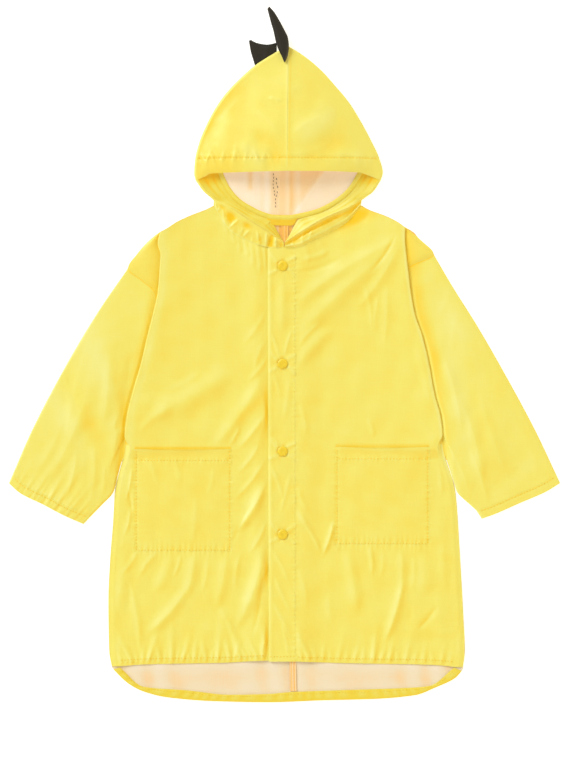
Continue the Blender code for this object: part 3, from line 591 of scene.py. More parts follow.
def mesh_from(name: str, grids: Sequence[Array], closed: bool, flip: bool,
        creases: Sequence[Array] | None = None,
        crinkles: Sequence[Array | float] | None = None) -> bpy.types.Mesh:
    """Join grids of points into one surface of quads, as whole arrays.

    Args:
        name: the mesh's name.
        grids: grids in millimetres, (rows, columns, 3).
        closed: whether the last column joins the first.
        flip: whether to turn the faces over.
        creases: for each grid a value from -1 to 1 at each point, for the material: painted shade below 0
            and painted light above.
        crinkles: for each grid how crumpled its cloth is, from 0 to 1.

    Returns:
        The mesh in metres, with doubles merged and the edges of one face marked sharp.
    """
    verts, faces, values, crumpled, first = [], [], [], [], 0
    for index, grid in enumerate(grids):
        rows, columns = grid.shape[:2]
        verts.append(grid.reshape(-1, 3) * MM)
        painted_shading = np.zeros((rows, columns)) if creases is None else creases[index]
        values.append(np.clip(painted_shading, -1, 1).ravel())
        share = .3 if crinkles is None else crinkles[index]
        crumpled.append(np.broadcast_to(share, (rows, columns)).ravel())
        here = first + np.arange(rows * columns).reshape(rows, columns)
        after = np.roll(here, -1, axis=1) if closed else here[:, 1:]
        here = here if closed else here[:, :-1]
        quads = np.stack([here[:-1], after[:-1], after[1:], here[1:]], axis=-1).reshape(-1, 4)
        faces.append(quads[:, ::-1] if flip else quads)
        first += rows * columns
    points, quads = np.concatenate(verts), np.concatenate(faces)
    keys = np.round(points * 1.0e5).astype(np.int64)
    _, keep, back = np.unique(keys, axis=0, return_index=True, return_inverse=True)
    quads = back.reshape(-1)[quads]
    mesh = bpy.data.meshes.new(name)
    mesh.from_pydata(points[keep].tolist(), [], quads.tolist())
    mesh.validate()
    # The crease attribute carries the painted shade and painted light to the material.
    for label, column in (("crease", values), ("crinkle", crumpled)):
        layer = mesh.attributes.new(label, "FLOAT", "POINT")
        layer.data.foreach_set("value", np.concatenate(column)[keep].astype(np.float32))
    mesh.shade_smooth()
    used = np.zeros(len(mesh.loops), dtype=np.int32)
    mesh.loops.foreach_get("edge_index", used)
    border = np.bincount(used, minlength=len(mesh.edges)) == 1
    mesh.attributes.new("sharp_edge", "BOOLEAN", "EDGE").data.foreach_set("value", border)
    return mesh


def cut_of(grids: Sequence[Array]) -> tuple[float, float, float]:
    """Flat size of a cloth piece: its longest row and column, and the sum of its quads' areas.

    Args:
        grids: grids in millimetres.

    Returns:
        Width, length and area in metres and square metres.
    """
    width = max(np.linalg.norm(np.diff(g, axis=1), axis=2).sum(1).max() for g in grids)
    length = max(np.linalg.norm(np.diff(g, axis=0), axis=2).sum(0).max() for g in grids)
    area = .0
    for g in grids:
        one, two = g[1:, 1:] - g[:-1, :-1], g[1:, :-1] - g[:-1, 1:]
        area += float(np.linalg.norm(np.cross(one, two), axis=2).sum() / 2)
    return width * MM, length * MM, area * MM * MM


class Workshop:
    """Makes finished pieces: mesh, wall, material and body, and keeps the flat size of each cloth's cut."""

    def __init__(self, palette: Palette) -> None:
        """Keep the palette."""
        self.palette = palette
        self.cuts: list[str] = []

    @staticmethod
    def place(name: str, mesh: bpy.types.Mesh, slot: str, node: str | None,
            materials: Sequence[Material]) -> bpy.types.Object:
        """Put a piece into the scene, on its body.

        Args:
            name: the piece's name.
            mesh: its mesh in metres.
            slot: not used.
            node: the solid that it replaces, if any.
            materials: its finishes.

        Returns:
            The piece.
        """
        piece = bpy.data.objects.new(name, mesh)
        bpy.context.scene.collection.objects.link(piece)
        for material in materials:
            mesh.materials.append(material)
        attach(piece, BODY)
        if node:
            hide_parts(node)
        log.info("%s: %d faces", name, len(mesh.polygons))
        return piece

    def cloth(self, name: str, node: str, grids: Sequence[Array], face: Face,
            creases: Sequence[Array] | None = None, crinkles: Sequence[Array | float] | None = None,
            cover: Cover | None = None, closed: bool = False, wall: float = SHELL,
            rests_on: Sequence[str] = ("floor",), held: str = "laid") -> None:
        """A cloth piece that stands for a solid.

        Args:
            name: the piece's name.
            node: the solid that it replaces.
            grids: its surface.
            face: which way the outer side looks.
            creases, crinkles: the painted shade and painted light of each grid, and how crumpled it is.
            cover: its slot and sides, the coat's own if left out.
            closed: whether each row is a ring.
            wall: thickness in millimetres.
            rests_on, held: not used.
        """
        cover = cover or self.palette.coat
        mesh = mesh_from(name, grids, closed, face is Face.OUTER_DOWN, creases, crinkles)
        piece = self.place(name, mesh, cover.slot, node, (cover.outer, cover.inner))
        thick = piece.modifiers.new("wall", "SOLIDIFY")
        thick.thickness = wall * MM
        thick.offset = .0
        thick.material_offset = 1
        thick.material_offset_rim = 0
        width, length, area = cut_of(grids)
        if closed:
            width += float(np.linalg.norm(grids[0][:, 0] - grids[0][:, -1], axis=1).max()) * MM
        width = max(width, LEAST_WIDTH)
        cut = (width, max(length, area / width))
        self.cuts.append(f"{name}: {cut[0] * 1000:.0f} x {cut[1] * 1000:.0f} mm, "
            f"{area * 1.0e4:.0f} cm2")


# y, and height of the front's middle away from its folds.
REST_HEIGHT = [(-425, 2.3), (-408, 2.9), (-370, 3.5), (-150, 3.9), (120, 3.7), (170, 3), (203, 2.4)]
FRONT_HEM = [(-234, -420.5), (-186, -417), (-85, -415), (-20, -412), (85, -415), (194, -417), (242, -421)]
BACK_HEM = [(-233, -422), (-211, -443), (-190, -454), (-157, -462), (-95, -467), (-22, -468.5), (49, -466),
    (122, -464), (176, -459), (205, -448), (230, -436), (241, -424)]
HEM_FACING = [(-222, -421.8), (-189, -448), (-132, -452.5), (-74, -458.5), (-22, -457.5), (6, -455),
    (86, -452), (159, -449.5), (194, -447), (229, -421.8)]
BACK_NECK = [(0, 184.5), (20, 187), (44, 195), (73, 201), (93, 202.5)]

# Broad folds of the fronts, the left one first: x0, y0, x1, y1, bow, width, rise, crisp.
MAIN_FOLDS = creases_of([(-67, -20, -190, -88, 3, 15, 2.2), (-30, -30, -98, -126, 5, 10, 2.1, .2),
    (-24, -78, -64, -128, 2, 5, 1.1, .5), (-196, -58, -150, -80, 0, 11, 1.2),
    (-22, -166, -68, -242, 4, 7, 2.7, .3), (-22, -248, -66, -372, 5, 9, 3.2, .2),
    (-79, -266, -92, -342, 3, 8, 2, .2), (-121, -266, -132, -326, 2, 7, 2, .2),
    (-127, -308, -188, -378, 5, 8, 2.7, .3), (-152, -268, -176, -322, 3, 8, 1.5),
    (-208, -306, -194, -408, 3, 5, 1.5, .4), (-216, -262, -226, -344, 2, 9, 1.2),
    (52, 168, 118, 196, 0, 9, -2), (12, 66, 158, 158, 6, 11, 2.3, .2), (16, 22, 150, 146, 5, 13, 2.6, .1),
    (14, -18, 66, 36, 3, 9, 1.5), (98, 62, 156, 150, -4, 8, 1.4, .3), (10, -200, 51, -270, 2, 4, 2.2, .6),
    (67, -222, 51, -272, 2, 4, 1.9, .6), (83, -264, 98, -352, 3, 8, 2.1, .1),
    (157, -262, 157, -330, 2, 6, 1.8, .3), (160, -304, 134, -390, 3, 6, 2.8, .4),
    (188, -264, 188, -326, 2, 10, 1.4), (176, 20, 200, -70, 3, 8, 1), (236, -374, 238, -410, 1, 5, 1.3, .3)])

# Left front from the neck to the hem, puckers below the neck, right front.
FINE_CREASES = creases_of([(-24, 62, -56, 14, 3, 4, .6, .4), (-26, 20, -40, -20, -2, 4, .6, .5),
    (-22, -2, -50, -36, 2, 4, .8, .5), (-110, -20, -160, -48, 4, 6, .6, .3),
    (-150, -70, -196, -104, -4, 6, .7, .3), (-60, -96, -74, -122, 1, 3, .9, .6),
    (-34, -120, -64, -160, 3, 4, .9, .5), (-26, -140, -70, -196, 4, 4, .9, .5),
    (-40, -196, -70, -256, -3, 4, -.8, .4), (-24, -222, -48, -268, 3, 4, .9, .5),
    (-30, -300, -44, -380, 3, 4, -1, .5), (-58, -266, -66, -318, -3, 4, .8, .4),
    (-104, -272, -112, -322, 3, 4, .8, .4), (-140, -268, -150, -300, 2, 3, .9, .5),
    (-170, -266, -196, -300, -3, 4, 1, .5), (-196, -262, -220, -296, 2, 4, 1, .4),
    (-206, -150, -214, -196, 2, 3, .9, .5), (-212, -176, -206, -214, 1, 3, -.8, .5),
    (-208, -206, -216, -244, 2, 3, .8, .5), (-88, -340, -70, -376, 2, 4, .9, .5),
    (-150, -136, -142, -176, 2, 4, .6, .4), (-186, -138, -170, -178, 2, 4, .6, .4),
    (-120, -190, -126, -258, 2, 5, .6, .3), (-96, -150, -104, -190, 2, 4, .5, .4),
    (-84, 184, -76, 162, 1, 3, .9, .5), (-74, 174, -66, 146, 1, 3, 1, .5),
    (-64, 164, -60, 136, 1, 3, 1, .5), (-56, 160, -48, 128, 1, 3, 1.1, .5),
    (-46, 154, -42, 116, 1, 3, 1.1, .5), (-37, 152, -32, 108, 1, 3, 1.2, .5),
    (-28, 150, -25, 112, 1, 3, 1.1, .5), (-100, 186, -60, 160, 3, 5, .8, .3),
    (26, 150, 34, 122, 1, 3, .7, .5), (44, 156, 56, 130, 1, 3, .6, .5), (18, 128, 62, 142, -3, 4, .8, .4),
    (18, 112, 78, 132, -4, 4, -.7, .4), (116, 112, 150, 162, -3, 3, -1.1, .6),
    (18, 10, 50, 44, 3, 4, .7, .5), (108, 96, 118, 30, 3, 4, .6, .4), (128, 84, 122, 26, -2, 4, .5, .4),
    (138, 96, 134, 10, 2, 5, .6, .3), (20, -62, 30, -108, 2, 4, .7, .4),
    (112, -84, 120, -112, 2, 4, .7, .4), (18, -176, 34, -214, -3, 4, .8, .5),
    (22, -222, 44, -262, 2, 3, -.9, .6), (60, -250, 74, -268, 2, 3, .6, .5),
    (18, -286, 30, -340, 3, 4, .7, .4), (114, -256, 118, -298, 2, 3.5, 1.5, .5),
    (132, -262, 130, -300, 2, 4, .7, .4), (206, -338, 178, -372, 2, 4, -1.1, .5),
    (60, -320, 66, -366, -2, 5, .6, .3), (174, -270, 172, -318, 2, 4, .8, .4),
    (206, -130, 212, -190, 2, 4, .7, .4), (214, -250, 220, -320, -3, 6, .7, .3)])

# x, lean of the pleat, length up the cloth, width and rise of each.
HEM_PUCKERS = [(-229, .2, 14, 2.4, 1.3), (-221, -.3, 26, 2.6, 2), (-213, -.5, 14, 2, 1.2),
    (-206, -.5, 28, 2.6, 2.2), (-199, -.2, 12, 2, 1.2), (-191, .1, 18, 2.4, 1.6), (-183, .3, 26, 2.6, 2),
    (-176, .1, 12, 2, 1.2), (-168, -.2, 22, 2.4, 1.7), (-160, .1, 14, 2.2, 1.3), (-152, 0, 34, 3, 2.4),
    (-144, .2, 14, 2.2, 1.3), (-137, .3, 24, 2.6, 1.9), (-129, -.1, 13, 2.2, 1.3), (-121, .1, 20, 2.4, 1.7),
    (-114, .2, 12, 2, 1.2), (-106, -.2, 24, 2.4, 1.8), (-98, .2, 13, 2, 1.2), (-90, .1, 34, 2.8, 2.4),
    (-82, -.1, 14, 2.2, 1.4), (-74, -.2, 30, 2.6, 2.2), (-67, .3, 15, 2.2, 1.4), (-60, -.3, 32, 2.8, 2.4),
    (-52, -.5, 24, 2.6, 2), (-45, -.4, 14, 2.2, 1.4), (-37, -.5, 24, 2.4, 1.9), (-29, .1, 40, 2.6, 2),
    (23, -.3, 20, 2.6, 1.4), (33, -.5, 34, 3, 2.2), (42, -.3, 14, 2.2, 1.1), (52, .1, 18, 2.4, 1.2),
    (63, -.2, 12, 2.2, 1), (73, .2, 20, 2.6, 1.2), (84, .1, 13, 2.2, 1), (95, .3, 18, 2.4, 1.2),
    (107, 0, 15, 2.2, 1.2), (120, .1, 32, 2.8, 2.2), (131, .3, 16, 2.4, 1.4), (142, .2, 22, 2.6, 1.6),
    (153, -.1, 13, 2.2, 1), (164, .2, 20, 2.6, 1.3), (176, .3, 12, 2.2, 1), (188, .1, 20, 2.6, 1.3),
    (200, -.2, 13, 2.2, 1), (212, .2, 18, 2.4, 1.2), (224, .1, 14, 2.4, 1.2), (235, -.1, 22, 2.6, 1.6)]


@dataclass(frozen=True)
class SideShape:
    """Outlines of one side of the body, the sleeve and the cuff, in (out, y)."""
    sign: int
    edge: Points
    seam: Points
    shoulder: Points
    neck: Points
    pocket: tuple[float, float]
    pocket_guide: Points
    sleeve_outer: Points
    sleeve_inner: Points
    cuff_seam: Points
    cuff: Points
    rows: Sequence[float]
    armhole_row: int
    inner_columns: Points

    @property
    def name(self) -> str:
        """The side's word in the names of pieces."""
        return "left" if self.sign < 0 else "right"

    def guide(self, y: float, column: int) -> float:
        """The pocket's outer (1) or inner (2) edge at y, drawn on over the whole front."""
        table = np.array(self.pocket_guide, dtype=float)
        return float(np.interp(-y, -table[:, 0], table[:, column]))


# How far each row of a front follows the shoulder's line, and how far the hem's.
TOP_SHARES = (1, .93, .86, .76, .66, .56, .4, .24, .08) + (0,) * 15
HEM_SHARES = (0,) * 19 + (.15, .35, .6, .82, 1)


LEFT = SideShape(sign=-1, edge=[(168, 166), (171.5, 152), (167.6, 135), (168.7, 117), (171.4, 84),
    (177.8, 55), (188.3, 13), (194, -12), (208, -61), (213.5, -86), (216, -110), (219.2, -143),
    (224.5, -163), (229, -182), (231.5, -224), (235.5, -275), (238, -331), (237, -398), (233, -422)],
    seam=[(168, 166), (187, 150), (199, 136), (211, 117.5), (192, 101), (174, 84), (171, 60), (176, 32),
    (185, 4), (190, -26), (194, -56), (203, -86), (213.5, -110), (215.5, -127), (219, -143)],
    shoulder=[(91, 202.5), (107, 196), (128, 188), (145, 180), (159, 171), (168, 166), (182, 155),
    (195, 139), (207, 123), (211, 117.5)], neck=[(-11.5, 144), (12, 145.5), (30, 148), (47, 154), (71, 169),
    (84, 189), (91, 202.5)], pocket=(-127, -264.6), pocket_guide=[(166, 142, 91), (60, 158, 84),
    (-86, 195, 74), (-127, 203, 71), (-264.6, 203, 71), (-422, 203, 72)],
    sleeve_outer=[(211, 117.5), (252, 58), (300, -23), (342, -104), (366.4, -160)],
    sleeve_inner=[(219.8, -143.2), (224.9, -163), (229.6, -182), (233, -188.5), (245, -201), (261, -217.5)],
    cuff_seam=[(366.4, -160), (352, -173.5), (320, -189.6), (289, -206), (261, -217.5)],
    cuff=[(372, -172.8), (358, -185), (326, -201), (295, -217.4), (271, -228)],
    rows=[166, 150, 136, 117.5, 101, 84, 58, 26, -12, -50, -86, -110, -127, -143, -170, -200, -232, -264.6,
    -300, -335, -365, -388, -405, -420], armhole_row=3, inner_columns=[(28, 18), (21.6, 4),
    (-UNDERLAP_X, 5)])

RIGHT = SideShape(sign=1, edge=[(163, 172.5), (162.5, 166), (167, 115), (175, 60), (190, 13), (204.5, -61),
    (211, -84), (213.5, -107), (218.2, -141), (224.5, -160), (230, -178), (233, -205), (235.6, -244),
    (242, -358), (243.7, -398), (241, -422)], seam=[(163, 172.5), (189, 150), (201, 136.4), (183, 127),
    (167, 117.5), (161, 101), (159, 84), (162, 60), (168, 32), (176, 4), (184, -26), (191, -56), (200, -84),
    (212, -107), (214, -124), (218, -141)], shoulder=[(99, 202.8), (115, 195.8), (137, 187.7), (153, 179.6),
    (163, 172.5), (174, 166), (183, 155), (198, 139), (201, 136.4)],
    neck=[(SEAM_X, 146), (34, 154), (65, 169), (82, 180), (99, 202.8)], pocket=(-124, -255),
    pocket_guide=[(172.5, 138, 99), (60, 152, 88), (-86, 188, 72), (-124, 196, 68), (-255, 196, 68),
    (-422, 200, 70)], sleeve_outer=[(201, 136.4), (228, 90.5), (258.5, 42), (296, -23), (339.5, -104),
    (366, -160)], sleeve_inner=[(218.8, -141.2), (224.8, -160), (230.4, -178), (232.6, -184.5), (249, -201),
    (258.3, -209.3)], cuff_seam=[(366, -160), (348, -171.6), (311, -187.8), (274, -204), (258.3, -209.3)],
    cuff=[(372, -172.8), (354, -183.6), (317, -199.8), (280, -216), (266, -221)],
    rows=[172.5, 154, 136.4, 117.5, 101, 84, 58, 26, -12, -50, -84, -107, -124, -141, -168, -196, -226,
    -255, -292, -330, -363, -388, -405, -420.9], armhole_row=2, inner_columns=[(SEAM_X, 24)])


# x0, y0, x1, y1, bow, width, rise and crisp of each, here and below.
PLACKET_CREASES = creases_of([(-4, 106, -4, 28, 1, 7, 1.3, .1), (-18, 30, -6, -6, 1, 2.5, .8, .5),
    (10, 34, 0, -4, -1, 2.5, .7, .5), (-16, -24, -6, -60, 2, 3, .6, .4), (6, -30, -2, -90, 2, 4, .6, .2),
    (-18, -110, -8, -122, 1, 2, .6, .5), (-18, -150, -2, -196, 2, 3, .8, .4),
    (8, -160, -6, -214, 1, 3, .6, .4), (-20, -258, 8, -312, 2, 3, .7, .4),
    (-16, -290, 12, -352, -2, 3, .7, .4), (-18, -330, 10, -388, 2, 3, .7, .4),
    (-4, -360, 6, -408, 1, 3, .6, .4)])

SLEEVE_CREASES = {-1: creases_of([(-238, 60, -290, -120, 4, 17, 3.2),
    (-208, 0, -226, -110, 3, 8, -1.4, .2), (-236, 10, -244, -96, 2, 9, 2.4, .2),
    (-252, 46, -296, -124, -6, 8, 1.5, .4), (-222, -60, -246, -190, 5, 8, 1.8, .4),
    (-268, -60, -318, -168, 4, 9, 1.8, .3), (-258, -120, -262, -200, 4, 6, 1.5, .4),
    (-296, -80, -336, -160, 4, 7, 1.2, .4), (-216, 96, -250, 30, -4, 6, 1, .4),
    (-242, -150, -250, -204, 2, 4, 1.3, .5), (-280, -130, -296, -196, 3, 5, 1.3, .5)]),
    1: creases_of([(222, 84, 250, -30, 4, 12, 2.6), (212, 4, 240, -108, 4, 8, 2.6, .3),
    (246, 30, 306, -110, 0, 15, 2.2), (222, 100, 208, 52, 4, 6, 1.4, .4), (236, 60, 228, 0, -4, 6, 1.2, .4),
    (238, -60, 268, -180, 5, 8, 2.2, .3), (262, -40, 304, -170, -4, 9, 1.8, .3),
    (246, -120, 274, -204, 4, 6, 1.6, .4), (296, -60, 344, -156, 4, 8, 1.4, .4),
    (230, -140, 250, -192, 3, 5, 1.4, .5)])}

# Share along the cuff, length up the sleeve, width and rise of each.
CUFF_PUCKERS = [(.05, 10, 3, .9), (.11, 16, 3, 1.3), (.16, 9, 3, .9), (.22, 20, 4, 1.4), (.28, 12, 3, 1.1),
    (.33, 24, 4, 1.6), (.39, 14, 3, 1.2), (.44, 10, 3, .9), (.5, 26, 4, 1.7), (.56, 14, 3, 1.2),
    (.61, 30, 4, 1.8), (.67, 12, 3, 1), (.72, 22, 4, 1.6), (.78, 28, 4, 1.9), (.83, 12, 3, 1.3),
    (.88, 20, 3, 1.6), (.94, 12, 3, 1.2)]

# Broad soft lights and shades of a sleeve: out, y, degrees, length, width, value.
SOFT_BANDS = {-1: [(244, -20, 66, 80, 17, .45), (222, -58, 78, 50, 9, -.45), (262, -92, 62, 50, 12, -.3),
    (300, -80, 60, 60, 14, .3)], 1: [(234, -52, 102, 66, 15, .5), (214, -32, 104, 60, 8, -.4),
    (262, -84, 112, 60, 12, -.2), (230, 40, 122, 40, 14, .35)]}

# How far the front's fold shades a sleeve, from low to high, and how much.
SHADES = {-1: ((8, 12, 14, 14), .5), 1: ((12, 16, 24, 28), .65)}

HOOD_FOLDS = creases_of([(0, 250, -46, 300, 0, 16, -2.4), (-14, 262, -66, 282, 0, 12, 2.2),
    (-86, 262, -70, 330, 0, 18, 1.8), (10, 285, 74, 330, 0, 15, 2.2), (20, 262, 88, 296, 0, 16, -1.8),
    (-6, 272, -52, 300, 4, 6, 1.1, .4), (-4, 290, -40, 330, -4, 7, .9, .3), (8, 292, 52, 322, 4, 6, 1, .4),
    (6, 268, 60, 284, -3, 6, .9, .3), (-2, 342, -22, 348, 1, 3, 1.2, .5), (4, 352, 26, 362, 2, 5, .9, .4),
    (60, 270, 112, 262, 4, 8, .9, .3), (40, 340, 70, 320, 4, 8, .8, .3),
    (-50, 350, -84, 316, -4, 8, .8, .3)])

INNER_FOLDS = creases_of([(-46, 252, -42, 212, 1, 4, 1.3, .3), (-30, 256, -28, 200, 1, 4, 1, .4),
    (-60, 250, -54, 222, 2, 5, .8, .3), (-20, 252, -18, 196, 1, 3, .9, .4),
    (10, 254, 6, 192, 1, 4, 1.1, .4), (20, 250, 24, 200, 1, 4, 1.2, .5), (50, 252, 26, 204, 1, 3, 1, .6),
    (70, 250, 60, 220, 2, 6, .6, .3)])

# x, length up the hood, width, rise and lean of each.
BRIM_PUCKERS = [(-117, 6, 1.8, .7, .2), (-110, 9, 1.8, .9, -.3), (-103, 6, 1.6, .7, .5),
    (-97, 10, 2.2, .9, -.2), (-89, 5, 1.6, .7, -.5), (-83, 8, 2, .8, .4), (-75, 6, 1.6, .6, -.3),
    (-68, 9, 2.2, .9, .3), (-60, 5, 1.8, .6, -.5), (-52, 8, 2, .8, .2), (-45, 5, 1.6, .6, .6),
    (-37, 8, 2, .8, -.3), (-28, 6, 1.8, .6, .4), (-19, 7, 2, .7, -.4), (-9, 5, 1.6, .5, .2),
    (-105, 24, 4, .4, .2), (-84, 20, 4, .4, -.1), (-66, 24, 4, .4, .2), (-39, 22, 4, .3, 0),
    (22, 8, 4, .3, 0), (46, 10, 5, .3, .2), (74, 10, 5, .4, 0), (98, 12, 5, .5, -.2), (116, 10, 4, .5, 0)]

# Share along the collar, lean, width, rise, and where it begins across.
RUFFLES = [(.04, .05, .016, 1.3, .2), (.11, -.06, .012, 1.6, .45), (.17, .1, .014, 1.2, .3),
    (.23, .02, .011, .9, .6), (.36, -.08, .015, 1.7, .2), (.42, .1, .011, 1, .5),
    (.47, .03, .012, 1.4, .45), (.55, -.09, .014, 1.5, .35), (.6, .07, .01, .9, .6),
    (.67, .11, .016, 1.9, .2), (.73, -.04, .01, 1, .55), (.78, .05, .012, 2, .0),
    (.9, .03, .014, 2.2, .0), (.96, -.03, .01, 1.1, .5)]

BINDING = [(-86, 252), (-75, 228), (-61, 211), (-44, 200), (-28, 192.5), (-14, 189), (5, 188.5), (21, 191),
    (44, 197), (64, 207), (86, 225.5), (102, 252)]


@dataclass(frozen=True)
class HoodShape:
    """Outlines of one half of the hood and its edges, in (out, y) or (out, y, height).

    The ridge is the crest of the turned-down edge and the foot its low line. Peak is its height
    and waves the depth of its ruffles. The crest is the facing's line, just under the ridge.
    Hollows are rows of share along the edge, place across, length, width and depth.
    """
    outline: Points
    cheek: Points
    brim: Points
    corner: Points
    ridge: Points
    foot: Points
    crest: Points
    facing_end: Points
    hollows: Points
    peak: float
    waves: float


HOOD_SHAPES = {-1: HoodShape(outline=[(-4.7, 417), (8.9, 409.9), (38.5, 391.5), (57.4, 375.3),
    (76.3, 355.9), (91.9, 334.8), (105.4, 309.6), (115, 286.3), (120.8, 261.4), (121.8, 243.9),
    (119.9, 235.3)], cheek=[(119.9, 235.3), (108.7, 220), (99.5, 212.3), (95.5, 208.5)],
    brim=[(-3.4, 247), (56, 245.7), (99, 244.4), (107, 240.5)], corner=(114, 247, 5.8),
    ridge=[(95, 210.5), (66.8, 194.4), (46.6, 180.9), (29, 170), (16.9, 162), (.7, 151.6)],
    foot=[(93.4, 203.4), (85.5, 189.5), (72, 170.2), (47.5, 155.4), (30, 149.5), (12, 147), (1.2, 147.6)],
    crest=[(92.6, 207.2, 4.2), (82, 202.2, 6.6), (66.6, 194.6, 8.3), (46.4, 181.1, 9.1), (28.8, 170.2, 8.8),
    (16.7, 162.2, 8.5), (.6, 151.8, 8.2)], facing_end=[(17.5, 181), (12.5, 172), (3.4, 156)],
    hollows=[(.29, .45, .075, .26, 2.6), (.14, .3, .05, .18, 1.2), (.51, .3, .06, .16, 1.3),
    (.84, .6, .03, .6, 2.6), (.71, .75, .025, .22, 1), (.97, .5, .03, .5, 1)], peak=9.6, waves=.9),
    1: HoodShape(outline=[(4.7, 417), (25.8, 404), (48.9, 384.8), (68.2, 363.6), (87.5, 340.3),
    (102.9, 315.4), (116.4, 290.3), (128, 265.1), (132.8, 245.8), (129.9, 235.3)],
    cheek=[(129.9, 235.3), (119.5, 220), (108.7, 212), (103.5, 208.2)],
    brim=[(3.4, 247), (47.9, 247), (99.2, 245.7), (117, 240.5)], corner=(124, 247, 5.8),
    ridge=[(104, 210), (82, 196.5), (61, 187.6), (45, 179.5), (21, 165), (0, 151.2)],
    foot=[(101, 203.4), (83, 181.5), (65.5, 170.5), (34.4, 155.4), (17, 147.8), (.4, 147.4)],
    crest=[(100.8, 207.4, 4.2), (91, 201.8, 6.6), (81.8, 196.8, 8.4), (60.8, 187.9, 10.2),
    (44.8, 179.8, 10.6), (20.8, 165.3, 10.2), (.3, 151.5, 9.6)],
    facing_end=[(17.5, 182), (9.5, 167), (2.6, 155)], hollows=[(.1, .55, .12, .35, 1.6),
    (.4, .3, .16, .16, 2.4), (.7, .28, .16, .15, 2.6), (.9, .35, .08, .25, 1.6)], peak=11.2, waves=.35)}


def pucker_height(x: Array, y: Array) -> Array:
    """Gathers on the front hem: each is a bell across x that dies away up the cloth.

    Args:
        x, y: places on the plan.

    Returns:
        Height to add.
    """
    total = np.zeros(np.broadcast(x, y).shape)
    above = np.maximum(y - y_at(FRONT_HEM, x), .0)
    for place, tilt, length, width, rise in HEM_PUCKERS:
        swell = ease(above / 9 + .15) * np.exp(-(above / length) ** 1.5)
        lean = place + tilt * np.maximum(above - 6, .0)
        total += rise * swell * bell(x - lean, width * (1 + above / 45))
    return total


# Left, right, bottom and top of each.
POCKETS = [(-203, -71, -264.6, -127), (68, 196, -255, -124)]


def seam_puckers(x: Array, y: Array) -> Array:
    """Short puckers that the stitches draw along the pockets' edges and the placket's seam.

    Along a seam they are a sine of uneven pace; across it they die away.

    Args:
        x, y: places on the plan.

    Returns:
        Height to add.
    """
    up = np.sin(y * .92 + 1.9 * np.sin(y / 8.3) + .9 * np.sin(y / 2.9 + 1))
    over = np.sin(x * .86 + 1.7 * np.sin(x / 9.1) + .8 * np.sin(x / 3.1))
    total = .34 * up * np.exp(-np.abs(x - 14.3) / 4)
    for left, right, bottom, top in POCKETS:
        inside = ease((top - y) / 4 + .5) * ease((y - bottom) / 4 + .5)
        for place in (left + 2.6, right - 2.6):
            total = total + .42 * up * inside * np.exp(-np.abs(x - place) / 4.2)
            total = total - .35 * inside * bell(x - place, 1.5)
        across = ease((x - left) / 4 + .5) * ease((right - x) / 4 + .5)
        total = total + .42 * over * across * np.exp(-np.abs(y - bottom - 2.6) / 4.5)
        total = total - .35 * across * bell(y - bottom - 2.6, 1.5)
    return total


def strong_lap(y: Array) -> Array:
    """Where the placket's free edge stands off the cloth below it, from 0 to 1."""
    return bell(y + 77, 40) + bell(y + 290, 20) + bell(y + 384, 22)


def centre_share(x: Array) -> Array:
    """How far a place belongs to the raised middle under the placket, from 0 to 1."""
    return ease((58 - np.abs(x - SNAP_X)) / 34)


def body_height(x: Array, y: Array) -> Array:
    """Height of the front: rest height, the placket's rise, the large folds.

    Args:
        x, y: places on the plan.

    Returns:
        Height of the cloth's middle.
    """
    table = np.array(REST_HEIGHT)
    rest = np.interp(y, table[:, 0], table[:, 1])
    centre = centre_share(x)
    beside = ease((np.abs(x + 3.1) - 16) / 16)
    calm = 1 - .25 * ease((-240 - y) / 40)
    height = rest + (CENTRE_MID - rest) * centre + relief(MAIN_FOLDS, x, y) * beside * calm
    lowest = UPPER_MID + .1 + (CENTRE_MID - UPPER_MID - .2) * centre
    return np.maximum(height, lowest)


def front_detail(x: Array, y: Array) -> Array:
    """Fine creases, gathers and waviness of the fronts, faded out at the placket's edges.

    Args:
        x, y: places on the plan.

    Returns:
        Height to add.
    """
    beside = ease((np.abs(x + 3.1) - 17) / 8)
    calm = 1 - .2 * ease((-240 - y) / 40)
    fine = relief(FINE_CREASES, x, y) * calm + pucker_height(x, y)
    return (fine + unevenness(x, y, .4, .4)) * beside + seam_puckers(x, y)


def front_crinkle(x: Array, y: Array) -> Array:
    """How crumpled the fronts are: most near the placket, the hem and the side seams.

    Args:
        x, y: places on the plan.

    Returns:
        Values from 0 to 1.
    """
    middle = bell(np.maximum(np.abs(x + 3) - 18, .0), 34)
    low = ease((-265 - y) / 90)
    neck = bell(np.hypot(x + 30, y - 170), 55)
    sides = ease((np.abs(x) - 175) / 40)
    smooth_left = bell(np.hypot(x + 120, y - 60), 60)
    return np.clip(.16 + .5 * middle + .5 * low + .5 * neck + .3 * sides - .15 * smooth_left, .0, 1)


